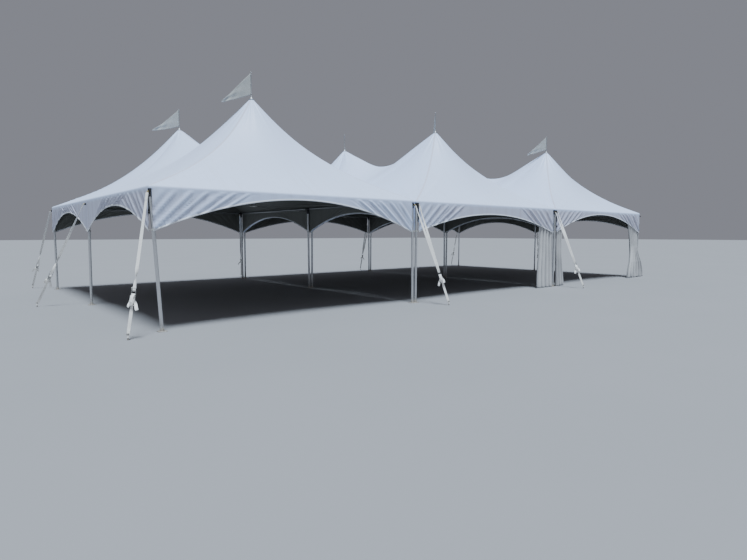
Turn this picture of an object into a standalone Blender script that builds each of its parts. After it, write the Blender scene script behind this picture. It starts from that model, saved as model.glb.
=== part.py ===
"""A marquee of three high-peak frame tents side by side, each with two peaks, guy straps and curtains.

Metres, +Z up. The origin is on the ground at the middle of the plan. +X runs along the front to the
right, and +Y runs from the front to the back.
"""

import math

import bmesh
import bpy
from mathutils import Vector

# Grid of the tents: the canopies from left to right, and the peaks of each from front to back
COLUMNS = 3
ROWS = 2
PITCH_X = 6.096
PITCH_Y = 4.572
TENT_GAP = 0.060
CLEARANCE = 0.0003
WELD_DISTANCE = 0.00002

# Canopy: the roof skin over two peaks, with its six arched valances
CLOTH = 0.006
EAVE_HEIGHT = 2.438
PEAK_HEIGHT = 4.700
RIDGE_HEIGHT = 3.950
TIP_RADIUS = 0.045
TIP_HOLE = 0.030
HIP_HOLLOW = 0.92
HIP_EASE = 0.48
PEAK_ROUNDNESS = 1.0
ROOF_RINGS = (0.0, 0.06, 0.15, 0.28, 0.45, 0.68, 1.0)
SKIN_DROP_SHARE = 1.3
EAVE_BAND = 0.050
CORNER_SLIT = 0.080
VALANCE_DROP = 0.750
LONG_ARCH_CROWN = 0.130
DEEP_ARCH_CROWN = 0.270
SHORT_ARCH_CROWN = 0.243
LONG_ARCH_STEPS = 8
SHORT_ARCH_STEPS = 6
RIDGE_STEPS = 8
SLOT_WIDTH = 0.050
SLOT_LOW = 0.150

# Eave frame: mitred tubes with a sleeve at each corner and halfway along each side
TUBE_RADIUS = 0.030
TUBE_SIDES = 8
SLEEVE_WALL = 0.006
SLEEVE_LENGTH = 0.110
SLEEVE_BELOW_TUBE = 0.004
SPIGOT_SHARE = 0.9
LUG_REACH = 0.085
LUG_WIDTH = 0.030
LUG_HEIGHT = 0.060
EYE_REACH = 0.100
EYE_WIDTH = 0.014
EYE_HEIGHT = 0.036
EYE_BELOW_SLEEVE_TOP = 0.004
LUG_BELOW_SLEEVE_TOP = 0.007

# Legs and their foot plates
LEG_RADIUS = 0.030
LEG_SIDES = 8
PAIR_FOOT_OFFSET = 0.050
PLATE_THICKNESS = 0.008
PLATE_MARGIN = 0.075
FRONT_LEFT_KICK = Vector((0.130, 0.070, 0.0))
CENTRE_LEFT_KICK = Vector((-0.020, 0.040, 0.0))

# Floating masts on crossed cables, each with a flag pole above the roof
MAST_RADIUS = 0.030
MAST_SIDES = 8
MAST_FOOT_RADIUS = 0.055
MAST_FOOT_HEIGHT = 2.300
MAST_FOOT_THICKNESS = 0.012
MAST_SHOULDER_DROP = 0.080
MAST_NECK_RADIUS = 0.018
CAP_RADIUS = 0.058
CAP_LIP = 0.008
CAP_HEIGHT = 0.090
POLE_RADIUS = 0.009
POLE_HEIGHT = 5.320
CABLE_RADIUS = 0.006
CABLE_SIDES = 8
CABLE_HUB_RADIUS = 0.050
CABLE_HUB_HEIGHT = 0.024

# Pennants: hoisted upright along the pole, the fly hanging below the hoist's lower corner
PENNANT_HOIST = 0.480
PENNANT_FLY = 0.660
PENNANT_DROP = 0.170
PENNANT_TIP = 0.030
PENNANT_CLOTH = 0.004
PENNANT_WAVE = 0.040
PENNANT_STEPS = 6
PENNANT_TOP_GAP = 0.030
PENNANT_FLIGHTS = {
    (0, 0): (2.44, 0.05),
    (0, 1): (2.44, 0.30),
    (1, 0): (0.87, 0.02),
    (1, 1): (0.87, 0.06),
    (2, 0): (2.44, -0.12),
    (2, 1): (2.20, 0.08),
}

# Guy straps, each with a ratchet and a stake
STRAP_WIDTH = 0.050
STRAP_THICKNESS = 0.006
STRAP_TWISTED_WIDTH = 0.022
HOOK_DEPTH = 0.024
HOOK_WIDTH = 0.030
HOOK_HEIGHT = 0.050
RATCHET_PLACE = 0.720
RATCHET_LENGTH = 0.150
RATCHET_WIDTH = 0.075
RATCHET_THICKNESS = 0.055
RATCHET_TAPER = 0.8
STRAP_END_LENGTH = 0.080
MERGE_PLACE = 0.620
MERGE_LENGTH = 0.080
MERGE_MARGIN = 0.004
MERGE_THICKNESS = 0.016
STRAND_THICKNESS = 0.005
STRAND_GAP = 0.004
STAKE_RADIUS = 0.0125
STAKE_HEIGHT = 0.110
STAKE_HEAD_RADIUS = 0.022
STAKE_HEAD_HEIGHT = 0.020
STRAP_END_HEIGHT = 0.060

# Gathered sidewall curtains. Each width is given at the rail, at the waist and at the hem.
CURTAIN_CLOTH = 0.008
CURTAIN_FOLD = 0.035
CURTAIN_RAIL_FOLD_SHARE = 0.35
CURTAIN_HEM_HEIGHT = 0.004
CURTAIN_LEG_GAP = 0.010
CURTAIN_ROWS = (0.0, 0.25, 0.5, 0.75, 1.0)
HANGING_SWING = (0.0, 0.02, 0.12, 0.42, 1.0)
WRAPPING_SWING = (0.0, 0.0, 0.20, 0.90, 1.0)
MIDDLE_BAY_WIDTHS = (0.67, 0.72, 0.81)
MIDDLE_BAY_FOLDS = 4
MIDDLE_BAY_SWING = 0.040
RIGHT_BAY_LEFT_WIDTHS = (0.29, 0.33, 0.42)
RIGHT_BAY_LEFT_FOLDS = 3
RIGHT_BAY_LEFT_SWING = 0.040
RIGHT_END_WIDTHS = (0.83, 0.61, 1.33)
RIGHT_END_FOLDS = 6
RIGHT_END_SWING = 0.125
RIGHT_END_SLEEVE_GAP = 0.088
RIGHT_END_WRAP = 0.170

COLUMN_NAMES = ("left", "inner_left", "inner_right", "right")
ROW_NAMES = ("front", "centre", "back")
BAY_NAMES = ("left", "middle", "right")
DEPTH_NAMES = ("front", "back")

# Sizes that follow from the ones above
HALF_X = (PITCH_X - TENT_GAP) / 2
HALF_Y = (PITCH_Y * ROWS - TENT_GAP) / 2
PEAK_PLACE = PITCH_Y / 2
PEAK_REACH = HALF_Y - PEAK_PLACE
HIP_LENGTH = math.hypot(HALF_X, PEAK_REACH)
EAVE_SLOPE = (1 - HIP_HOLLOW + HIP_EASE) * (PEAK_HEIGHT - EAVE_HEIGHT)
RIDGE_BOW = 1 - EAVE_SLOPE / (RIDGE_HEIGHT - EAVE_HEIGHT)
CORNER_INSET = CLOTH + CLEARANCE + TUBE_RADIUS
RAIL_X = HALF_X - CORNER_INSET
RAIL_Y = HALF_Y - CORNER_INSET
MIDDLE_X = RAIL_X - SLEEVE_WALL
RAIL_HEIGHT = EAVE_HEIGHT - CLOTH - TUBE_RADIUS - CLEARANCE
SLEEVE_RADIUS = TUBE_RADIUS + SLEEVE_WALL
SLEEVE_TOP = RAIL_HEIGHT - TUBE_RADIUS - SLEEVE_BELOW_TUBE
SLEEVE_BOTTOM = SLEEVE_TOP - SLEEVE_LENGTH
LEG_TOP = SLEEVE_BOTTOM - CLEARANCE
LEG_OFFSET = TENT_GAP / 2 + CORNER_INSET
LUG_MIDDLE = SLEEVE_TOP - LUG_BELOW_SLEEVE_TOP - LUG_HEIGHT / 2
EYE_MIDDLE = SLEEVE_TOP - EYE_BELOW_SLEEVE_TOP - EYE_HEIGHT / 2

# Where each guy strap is staked, measured from its grid point
STAKES = {
    (0, 0): Vector((-0.455, -0.274, 0.0)),
    (1, 0): Vector((0.300, -0.790, 0.0)),
    (2, 0): Vector((0.210, -0.880, 0.0)),
    (0, 1): Vector((-0.975, 0.450, 0.0)),
    (0, 2): Vector((-0.447, 0.880, 0.0)),
    (1, 2): Vector((0.300, 0.790, 0.0)),
    (2, 2): Vector((0.210, 0.880, 0.0)),
    (3, 1): Vector((0.975, 0.450, 0.0)),
    (3, 2): Vector((0.447, 0.880, 0.0)),
}


def grid_point(column, row):
    """Returns the ground point between the legs that stand together, or the outer corner of a single one."""
    return Vector(((column - COLUMNS / 2) * PITCH_X, (row - ROWS / 2) * PITCH_Y, 0.0))


def canopy_centre(column):
    """Returns the ground point under the middle of a canopy."""
    return Vector(((column + 0.5 - COLUMNS / 2) * PITCH_X, 0.0, 0.0))


def peak_point(column, row):
    """Returns the ground point under a peak."""
    return canopy_centre(column) + Vector((0.0, -PEAK_PLACE if row == 0 else PEAK_PLACE, 0.0))


def clear_scene():
    for item in list(bpy.data.objects):
        bpy.data.objects.remove(item, do_unlink=True)


def make_material(name, colour, roughness, metallic=0.0):
    material = bpy.data.materials.new(name)
    material.use_nodes = True
    shader = material.node_tree.nodes["Principled BSDF"]
    shader.inputs["Base Color"].default_value = (*colour, 1.0)
    shader.inputs["Roughness"].default_value = roughness
    shader.inputs["Metallic"].default_value = metallic
    return material


def add_object(name, mesh, material):
    """Puts a mesh in the scene as one named piece with its finish."""
    mesh.name = name
    mesh.materials.clear()
    mesh.materials.append(material)
    mesh.shade_smooth()
    mesh.set_sharp_from_angle(angle=math.radians(35))
    piece = bpy.data.objects.new(name, mesh)
    bpy.context.scene.collection.objects.link(piece)
    return piece


def mesh_from(vertices, faces):
    """Makes a closed mesh whose faces point outwards."""
    mesh = bpy.data.meshes.new("shape")
    mesh.from_pydata([tuple(vertex) for vertex in vertices], [], faces)
    work = bmesh.new()
    work.from_mesh(mesh)
    bmesh.ops.recalc_face_normals(work, faces=work.faces)
    work.to_mesh(mesh)
    work.free()
    return mesh


def loft(rings):
    """Joins rings of equally many points into one closed skin with flat ends."""
    count = len(rings[0])
    vertices = [point for ring in rings for point in ring]
    faces = [tuple(range(count)), tuple(range(len(vertices) - count, len(vertices)))]
    for level in range(len(rings) - 1):
        for step in range(count):
            a = level * count + step
            b = level * count + (step + 1) % count
            faces.append((a, b, b + count, a + count))
    return mesh_from(vertices, faces)


def circle(centre, radius, sides, across=Vector((1, 0, 0)), up=Vector((0, 1, 0)), start=0.0):
    """Returns the points of a circle spanned by two directions, from a starting angle on."""
    turns = [start + math.tau * step / sides for step in range(sides)]
    return [centre + across * (radius * math.cos(turn)) + up * (radius * math.sin(turn)) for turn in turns]


def rectangle(centre, width, depth, across, up):
    """Returns the four corners of a rectangle spanned by two directions."""
    signs = ((-1, -1), (1, -1), (1, 1), (-1, 1))
    return [centre + across * (width / 2 * s) + up * (depth / 2 * t) for s, t in signs]


def post(bottom, top, radius, sides):
    """A round post with level ends, which may lean."""
    return loft([circle(bottom, radius, sides), circle(top, radius, sides)])


def block(centre, along, length, width, height):
    """A level block that starts at a point and runs along a direction."""
    across = Vector((0, 0, 1)).cross(along)
    up = Vector((0, 0, 1))
    ends = (centre, centre + along * length)
    return loft([rectangle(end, width, height, across, up) for end in ends])


def turned(centre, profile, sides, start=0.0):
    """A body turned about an upright axis from its radii and heights."""
    across, up = Vector((1, 0, 0)), Vector((0, 1, 0))
    return loft([circle(centre + Vector((0, 0, height)), radius, sides, across, up, start)
                 for radius, height in profile])


def weld(mesh):
    """Merges the points that a union leaves within a hair of each other, and the slivers between them."""
    work = bmesh.new()
    work.from_mesh(mesh)
    bmesh.ops.remove_doubles(work, verts=work.verts, dist=WELD_DISTANCE)
    bmesh.ops.dissolve_degenerate(work, edges=work.edges, dist=WELD_DISTANCE)
    bmesh.ops.recalc_face_normals(work, faces=work.faces)
    work.to_mesh(mesh)
    work.free()


def fuse(meshes):
    """Joins overlapping solids into one closed mesh."""
    base = bpy.data.objects.new("fused", meshes[0])
    bpy.context.scene.collection.objects.link(base)
    tools = []
    for mesh in meshes[1:]:
        tool = bpy.data.objects.new("joined", mesh)
        bpy.context.scene.collection.objects.link(tool)
        tools.append(tool)
        union = base.modifiers.new("Union", "BOOLEAN")
        union.operation = "UNION"
        union.solver = "EXACT"
        union.object = tool
    graph = bpy.context.evaluated_depsgraph_get()
    result = bpy.data.meshes.new_from_object(base.evaluated_get(graph))
    for item in [base, *tools]:
        bpy.data.objects.remove(item, do_unlink=True)
    weld(result)
    return result


def arch_depth(place, low, high, crown):
    """Returns how far the valance hangs below the eave at a place between an arch's two feet."""
    share = (2 * place - low - high) / (high - low)
    return crown + (VALANCE_DROP - crown) * share ** 2


def front_sections(crown):
    """Returns the sections along the front or back eave, from slit to slit."""
    reach = HALF_X - CORNER_SLIT
    sections = []
    for step in range(LONG_ARCH_STEPS + 1):
        place = reach * (2 * step / LONG_ARCH_STEPS - 1)
        levels = [EAVE_BAND, arch_depth(place, -reach, reach, crown)]
        sections.append((Vector((place, -PEAK_REACH, 0)), Vector((0, CLOTH, 0)), levels))
    return sections


def side_sections(side):
    """Returns the sections along half a side, from the corner's slit over the strap slot to the mid line."""
    low = CORNER_SLIT - PEAK_REACH
    high = PEAK_PLACE - SLOT_WIDTH / 2
    places = [low + (high - low) * step / SHORT_ARCH_STEPS for step in range(SHORT_ARCH_STEPS + 1)]
    sections = []
    for index, place in enumerate([*places, PEAK_PLACE]):
        slot = [SLOT_LOW] if index >= SHORT_ARCH_STEPS else []
        levels = [EAVE_BAND, *slot, arch_depth(place, low, PEAK_PLACE, SHORT_ARCH_CROWN)]
        sections.append((Vector((side * HALF_X, place, 0)), Vector((-side * CLOTH, 0, 0)), levels))
    return sections


def half_sections(crown):
    """Returns the sections round one peak, along the eave and back over the ridge on the mid line.

    Each holds its end seen from the peak, how far its inner skin stands in, and the levels of its valance
    below the eave. A corner has the band alone, and a section that ends on the mid line has no level.
    """
    corners = [(Vector((side * HALF_X, -PEAK_REACH, 0)), Vector((-side * CLOTH, CLOTH, 0)), [EAVE_BAND])
               for side in (-1, 1)]
    ridge = [(Vector((HALF_X * (1 - 2 * step / RIDGE_STEPS), PEAK_PLACE, 0)), Vector(), [])
             for step in range(1, RIDGE_STEPS)]
    return [*reversed(side_sections(-1)), corners[0], *front_sections(crown), corners[1], *side_sections(1),
            *ridge]


def roof_end(edge, at_eave):
    """Returns the height of a section's end and the two factors of its hollow curve.

    On the mid line the factors leave the roof level from front to back, so that the two halves run on
    smoothly into each other.
    """
    if at_eave:
        return EAVE_HEIGHT, HIP_HOLLOW, HIP_EASE
    across = abs(edge.x) / HALF_X
    rise = RIDGE_HEIGHT - EAVE_HEIGHT
    height = EAVE_HEIGHT + rise * (1 - across) * (1 - RIDGE_BOW * across)
    slope = rise * across * (1 + RIDGE_BOW - 2 * RIDGE_BOW * across) / (PEAK_HEIGHT - height)
    ease = HIP_EASE * across
    return height, 1 + ease - slope, ease


def roof_point(edge, share, at_eave):
    """Returns a point of the roof skin between tip ring and edge, in sections that round off upwards."""
    end_height, hollow, ease = roof_end(edge, at_eave)
    swell = 1 + PEAK_ROUNDNESS * (1 - share) ** 2 * (HIP_LENGTH / edge.length - 1)
    place = edge.normalized() * TIP_RADIUS * (1 - share) + edge * (share * swell)
    curve = (1 - share) * (1 - hollow * share + ease * share ** 2)
    return Vector((place.x, place.y, end_height + (PEAK_HEIGHT - end_height) * curve))


def skin_points(edge, inset, levels):
    """Returns the points of a section's outer and inner skin, from the tip down to the hem."""
    at_eave = bool(levels)
    outer = [roof_point(edge, share, at_eave) for share in ROOF_RINGS]
    inner = [point - Vector((0, 0, CLOTH * SKIN_DROP_SHARE)) for point in outer]
    inner[0] = Vector((outer[0].x, outer[0].y, 0)) * (TIP_HOLE / TIP_RADIUS) + Vector((0, 0, PEAK_HEIGHT))
    if at_eave:
        inner[-1] = edge + inset + Vector((0, 0, EAVE_HEIGHT - CLOTH))
    outer += [edge + Vector((0, 0, EAVE_HEIGHT - level)) for level in levels]
    inner += [edge + inset + Vector((0, 0, EAVE_HEIGHT - level)) for level in levels]
    return outer, inner


def section_faces(section, neighbour):
    """Returns the faces between two neighbouring sections, with the rims of slits, slot and hem."""
    outer, inner = section
    next_outer, next_inner = neighbour
    band = len(ROOF_RINGS)
    rows = min(len(outer), len(next_outer), band + 1)
    faces = [(outer[0], inner[0], next_inner[0], next_outer[0])]
    for row in range(rows - 1):
        faces.append((outer[row], next_outer[row], next_outer[row + 1], outer[row + 1]))
        faces.append((inner[row], inner[row + 1], next_inner[row + 1], next_inner[row]))
    if rows == band:
        return faces
    longer_outer, longer_inner = (outer, inner) if len(outer) > len(next_outer) else (next_outer, next_inner)
    if min(len(outer), len(next_outer)) == band + 1:
        faces.append((outer[band], next_outer[band], next_inner[band], inner[band]))
        faces.append((longer_outer[band], longer_outer[-1], longer_inner[-1], longer_inner[band]))
        return faces
    top = band
    if len(outer) == len(next_outer) == band + 3:
        faces.append((outer[band], next_outer[band], next_inner[band], inner[band]))
        faces.append((outer[band + 1], next_outer[band + 1], next_inner[band + 1], inner[band + 1]))
        top = band + 1
    elif len(outer) != len(next_outer):
        step = (longer_outer[band], longer_outer[band + 1], longer_inner[band + 1], longer_inner[band])
        faces.append(step)
    faces.append((*reversed(outer[top:]), *next_outer[top:]))
    faces.append((*inner[top:], *reversed(next_inner[top:])))
    faces.append((outer[-1], next_outer[-1], next_inner[-1], inner[-1]))
    return faces


def canopy_mesh(centre, crown):
    """One sewn top over two peaks: the roof skin, the band at the eave and six arched valances."""
    vertices, faces = [], []
    for facing in (-1, 1):
        numbers = []
        for edge, inset, levels in half_sections(crown):
            skins = []
            for skin in skin_points(edge, inset, levels):
                skins.append(list(range(len(vertices), len(vertices) + len(skin))))
                for point in skin:
                    place = Vector((point.x, facing * (PEAK_PLACE - point.y), point.z))
                    vertices.append(centre + place)
            numbers.append(skins)
        for index, section in enumerate(numbers):
            faces += section_faces(section, numbers[(index + 1) % len(numbers)])
    mesh = mesh_from(vertices, faces)
    weld(mesh)
    return mesh


def fitting_place(side, end):
    """Returns an eave fitting's place, seen from its canopy's centre: end is 0 halfway along the side."""
    return Vector((side * (RAIL_X if end else MIDDLE_X), end * RAIL_Y, 0))


def lug_direction(column, side, end):
    """Returns where a fitting's strap lug points, or None between two canopies."""
    outer_side = (column == 0 and side < 0) or (column == COLUMNS - 1 and side > 0)
    direction = Vector((side if outer_side else 0, end, 0))
    return direction.normalized() if direction.length else None


def peaks_beside(end):
    """Returns the front (-1) and back (1) peaks whose cables reach a fitting."""
    return (end,) if end else (-1, 1)


def frame_mesh(column):
    """Four mitred eave tubes, with a leg sleeve, cable eyes and a strap lug at the corners and halfway."""
    centre = canopy_centre(column)
    corners = ((-1, -1), (1, -1), (1, 1), (-1, 1))
    vertices, faces = [], []
    for sx, sy in corners:
        for step in range(TUBE_SIDES):
            turn = math.tau * step / TUBE_SIDES
            out = TUBE_RADIUS * math.cos(turn)
            height = RAIL_HEIGHT + TUBE_RADIUS * math.sin(turn)
            vertices.append(centre + Vector((sx * (RAIL_X + out), sy * (RAIL_Y + out), height)))
    total = len(vertices)
    for corner in range(len(corners)):
        for step in range(TUBE_SIDES):
            a = corner * TUBE_SIDES + step
            b = corner * TUBE_SIDES + (step + 1) % TUBE_SIDES
            faces.append((a, b, (b + TUBE_SIDES) % total, (a + TUBE_SIDES) % total))
    solids = [mesh_from(vertices, faces)]
    for side in (-1, 1):
        for end in (-1, 0, 1):
            solids += fitting_meshes(column, side, end)
    return fuse(solids)


def fitting_meshes(column, side, end):
    """The solids of one eave fitting: the leg sleeve, its cable eyes and, outside, its strap lug."""
    place = fitting_place(side, end)
    axis = canopy_centre(column) + place
    spigot_radius = TUBE_RADIUS * SPIGOT_SHARE
    sleeve = ((SLEEVE_RADIUS, SLEEVE_BOTTOM), (SLEEVE_RADIUS, SLEEVE_TOP), (spigot_radius, SLEEVE_TOP),
              (spigot_radius, RAIL_HEIGHT))
    solids = [turned(axis, sleeve, TUBE_SIDES, math.pi / TUBE_SIDES)]
    for peak in peaks_beside(end):
        inward = (Vector((0, peak * PEAK_PLACE, 0)) - place).normalized()
        solids.append(block(axis + Vector((0, 0, EYE_MIDDLE)), inward, EYE_REACH, EYE_WIDTH, EYE_HEIGHT))
    outward = lug_direction(column, side, end)
    if outward:
        solids.append(block(axis + Vector((0, 0, LUG_MIDDLE)), outward, LUG_REACH, LUG_WIDTH, LUG_HEIGHT))
    return solids


def fittings_at(column, row):
    """Returns the fittings over a grid point, as canopy, side and end."""
    end = {0: -1, ROWS: 1}.get(row, 0)
    neighbours = ((column - 1, 1), (column, -1))
    return [(canopy, side, end) for canopy, side in neighbours if 0 <= canopy < COLUMNS]


def leg_places(column, row):
    """Returns the head and foot of each leg that stands at a grid point."""
    node = grid_point(column, row)
    fittings = fittings_at(column, row)
    kick = {(0, 0): FRONT_LEFT_KICK, (0, 1): CENTRE_LEFT_KICK}.get((column, row), Vector())
    places = []
    for canopy, side, end in fittings:
        axis = canopy_centre(canopy) + fitting_place(side, end)
        foot_x = node.x - side * PAIR_FOOT_OFFSET if len(fittings) == 2 else axis.x
        foot = Vector((foot_x, axis.y, PLATE_THICKNESS / 2)) + kick
        places.append((axis + Vector((0, 0, LEG_TOP)), foot))
    return places


def legs_mesh(column, row):
    """The legs at one grid point, standing on the foot plate that they share."""
    places = leg_places(column, row)
    feet_x = [foot.x for head, foot in places]
    feet_y = [foot.y for head, foot in places]
    low_x, high_x = min(feet_x) - PLATE_MARGIN, max(feet_x) + PLATE_MARGIN
    low_y, high_y = min(feet_y) - PLATE_MARGIN, max(feet_y) + PLATE_MARGIN
    outline = [Vector((low_x, low_y, 0)), Vector((high_x, low_y, 0)), Vector((high_x, high_y, 0)),
               Vector((low_x, high_y, 0))]
    plate = loft([outline, [corner + Vector((0, 0, PLATE_THICKNESS)) for corner in outline]])
    return fuse([plate, *(post(foot, head, LEG_RADIUS, LEG_SIDES) for head, foot in places)])


def mast_mesh(centre):
    """A floating mast with its foot disc, its cap over the roof's tip and its flag pole."""
    cap_base = PEAK_HEIGHT + CLEARANCE
    shoulder = PEAK_HEIGHT - MAST_SHOULDER_DROP
    profile = (
        (MAST_FOOT_RADIUS, MAST_FOOT_HEIGHT),
        (MAST_FOOT_RADIUS, MAST_FOOT_HEIGHT + MAST_FOOT_THICKNESS),
        (MAST_RADIUS, MAST_FOOT_HEIGHT + MAST_FOOT_THICKNESS),
        (MAST_RADIUS, shoulder),
        (MAST_NECK_RADIUS, shoulder + MAST_RADIUS),
        (MAST_NECK_RADIUS, cap_base),
        (CAP_RADIUS, cap_base),
        (CAP_RADIUS, cap_base + CAP_LIP),
        (POLE_RADIUS, cap_base + CAP_HEIGHT),
        (POLE_RADIUS, POLE_HEIGHT),
    )
    return turned(centre, profile, MAST_SIDES)


def cables_mesh(column, peak):
    """Crossed cables from the four fittings round a peak to the hub that carries its mast."""
    centre = canopy_centre(column) + Vector((0, peak * PEAK_PLACE, 0))
    hub_top = MAST_FOOT_HEIGHT - CLEARANCE
    hub_bottom = hub_top - CABLE_HUB_HEIGHT
    hub = ((CABLE_HUB_RADIUS, hub_bottom), (CABLE_HUB_RADIUS, hub_top))
    solids = [turned(centre, hub, TUBE_SIDES, math.pi / TUBE_SIDES)]
    for side in (-1, 1):
        for end in (0, peak):
            reach = fitting_place(side, end) - Vector((0, peak * PEAK_PLACE, 0))
            outward = reach.normalized()
            start = centre + Vector((0, 0, (hub_bottom + hub_top) / 2))
            finish = centre + outward * (reach.length - EYE_REACH - CLEARANCE) + Vector((0, 0, EYE_MIDDLE))
            across = Vector((0, 0, 1)).cross(outward)
            up = Vector((0, 0, 1))
            rings = [circle(point, CABLE_RADIUS, CABLE_SIDES, across, up) for point in (start, finish)]
            solids.append(loft(rings))
    return fuse(solids)


def pennant_mesh(centre, heading, curl):
    """A triangular flag on its pole, blown out along a heading and curling to one side."""
    along = Vector((math.cos(heading), math.sin(heading), 0))
    across = Vector((-along.y, along.x, 0))
    top = POLE_HEIGHT - PENNANT_TOP_GAP
    rings = []
    for step in range(PENNANT_STEPS + 1):
        share = step / PENNANT_STEPS
        reach = POLE_RADIUS + CLEARANCE + PENNANT_FLY * share
        wave = PENNANT_WAVE * math.sin(share * math.tau) * share + curl * share ** 2
        low = top - PENNANT_HOIST - PENNANT_DROP * share
        high = low + PENNANT_HOIST + (PENNANT_TIP - PENNANT_HOIST) * share
        place = centre + along * reach + across * wave
        rings.append(rectangle(place + Vector((0, 0, (high + low) / 2)), PENNANT_CLOTH, high - low,
                               across, Vector((0, 0, 1))))
    return loft(rings)


def band_loft(start, end, across, sections):
    """A webbing band between two points, from its sections: share, width, thickness and twist."""
    along = (end - start).normalized()
    face = across.cross(along).normalized()
    rings = []
    for share, width, thickness, twist in sections:
        centre = start.lerp(end, share)
        wide = across * math.cos(twist) + face * math.sin(twist)
        thin = face * math.cos(twist) - across * math.sin(twist)
        rings.append(rectangle(centre, width, thickness, wide, thin))
    return loft(rings)


def strap_tops(column, row):
    """Returns the outer ends of the strap lugs at a grid point, with the way they point."""
    tops = []
    for canopy, side, end in fittings_at(column, row):
        outward = lug_direction(canopy, side, end)
        axis = canopy_centre(canopy) + fitting_place(side, end) + Vector((0, 0, LUG_MIDDLE))
        tops.append((axis + outward * (LUG_REACH + CLEARANCE), outward))
    return tops


def strap_mesh(column, row):
    """A guy strap from its lugs to its stake, with the ratchet that tightens it."""
    tops = strap_tops(column, row)
    stake = grid_point(column, row) + STAKES[(column, row)]
    foot = stake + Vector((0, 0, STRAP_END_HEIGHT))
    hook_centres = [point + outward * (HOOK_DEPTH / 2) for point, outward in tops]
    head = sum(hook_centres, Vector()) / len(tops)
    across = (foot - head).cross(Vector((0, 0, 1))).normalized()
    lead = (foot - head).length
    half = RATCHET_LENGTH / 2 / lead
    lower_run = (
        (RATCHET_PLACE - half, STRAP_WIDTH, STRAP_THICKNESS, 0),
        (RATCHET_PLACE - half * RATCHET_TAPER, RATCHET_WIDTH, RATCHET_THICKNESS, 0),
        (RATCHET_PLACE + half * RATCHET_TAPER, RATCHET_WIDTH, RATCHET_THICKNESS, 0),
        (RATCHET_PLACE + half, STRAP_TWISTED_WIDTH, STRAP_THICKNESS * 2, 0),
        (1 - STRAP_END_LENGTH / lead, STRAP_WIDTH, STRAP_THICKNESS, 0),
        (1, STRAP_WIDTH, STRAP_THICKNESS, 0),
    )
    solids = []
    if len(tops) == 1:
        solids.append(band_loft(head, foot, across, ((0, STRAP_WIDTH, STRAP_THICKNESS, 0), *lower_run)))
    else:
        merge_end = MERGE_PLACE + MERGE_LENGTH / lead
        merge_width = 2 * STRAP_WIDTH + STRAND_GAP + 2 * MERGE_MARGIN
        merge_start = (MERGE_PLACE, merge_width, MERGE_THICKNESS, 0)
        merge = (merge_start, (merge_end, STRAP_WIDTH, STRAP_THICKNESS, 0))
        solids.append(band_loft(head, foot, across, (*merge, *lower_run)))
        for centre in hook_centres:
            side = math.copysign((STRAP_WIDTH + STRAND_GAP) / 2, (centre - head).dot(across))
            end = head.lerp(foot, MERGE_PLACE + MERGE_LENGTH / 3 / lead) + across * side
            strand = ((0, STRAP_WIDTH, STRAND_THICKNESS, 0), (1, STRAP_WIDTH, STRAND_THICKNESS, 0))
            solids.append(band_loft(centre, end, across, strand))
    for point, outward in tops:
        solids.append(block(point, outward, HOOK_DEPTH, HOOK_WIDTH, HOOK_HEIGHT))
    head_base = STAKE_HEIGHT - STAKE_HEAD_HEIGHT
    profile = ((STAKE_RADIUS, 0), (STAKE_RADIUS, head_base), (STAKE_HEAD_RADIUS, head_base),
               (STAKE_HEAD_RADIUS, STAKE_HEIGHT))
    solids.append(turned(stake, profile, TUBE_SIDES))
    return fuse(solids)


def level_between(values, share):
    """Returns a value between those given at the rail, at the waist and at the hem."""
    rail, waist, hem = values
    if share <= 0.5:
        return rail + (waist - rail) * share * 2
    return waist + (hem - waist) * (share * 2 - 1)


def curtain_mesh(rail_y, folds, starts, ends, swing, swing_shares):
    """A curtain bunched at one end of a bay, in upright folds from the eave rail to the ground."""
    top = RAIL_HEIGHT - TUBE_RADIUS - CLEARANCE
    columns = folds * 2 + 1
    front, back = [], []
    for share, swing_share in zip(CURTAIN_ROWS, swing_shares):
        height = top + (CURTAIN_HEM_HEIGHT - top) * share
        start, end = level_between(starts, share), level_between(ends, share)
        amplitude = CURTAIN_FOLD * (CURTAIN_RAIL_FOLD_SHARE + (1 - CURTAIN_RAIL_FOLD_SHARE) * share)
        for column in range(columns):
            place = start + (end - start) * column / (columns - 1)
            depth = rail_y + amplitude * (1 if column % 2 else -1) - swing * swing_share
            front.append(Vector((place, depth - CURTAIN_CLOTH / 2, height)))
            back.append(Vector((place, depth + CURTAIN_CLOTH / 2, height)))
    rows = len(CURTAIN_ROWS)
    count = len(front)
    faces = []
    for row in range(rows - 1):
        for column in range(columns - 1):
            a = row * columns + column
            faces.append((a, a + 1, a + 1 + columns, a + columns))
            faces.append((a + count, a + columns + count, a + columns + 1 + count, a + 1 + count))
    for column in range(columns - 1):
        for a in (column, (rows - 1) * columns + column):
            faces.append((a, a + 1, a + 1 + count, a + count))
    for row in range(rows - 1):
        for a in (row * columns, row * columns + columns - 1):
            faces.append((a, a + columns, a + columns + count, a + count))
    return mesh_from(front + back, faces)


def build_tents(fabric, tube, dark_steel, flag_cloth):
    for column in range(COLUMNS):
        bay = BAY_NAMES[column]
        crown = DEEP_ARCH_CROWN if column == 1 else LONG_ARCH_CROWN
        add_object(f"canopy_{bay}", canopy_mesh(canopy_centre(column), crown), fabric)
        add_object(f"eave_frame_{bay}", frame_mesh(column), tube)
        for row, peak in enumerate((-1, 1)):
            place = f"{DEPTH_NAMES[row]}_{bay}"
            centre = peak_point(column, row)
            add_object(f"mast_{place}", mast_mesh(centre), tube)
            add_object(f"cables_{place}", cables_mesh(column, peak), dark_steel)
            heading, curl = PENNANT_FLIGHTS[(column, row)]
            add_object(f"pennant_{place}", pennant_mesh(centre, heading, curl), flag_cloth)


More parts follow.
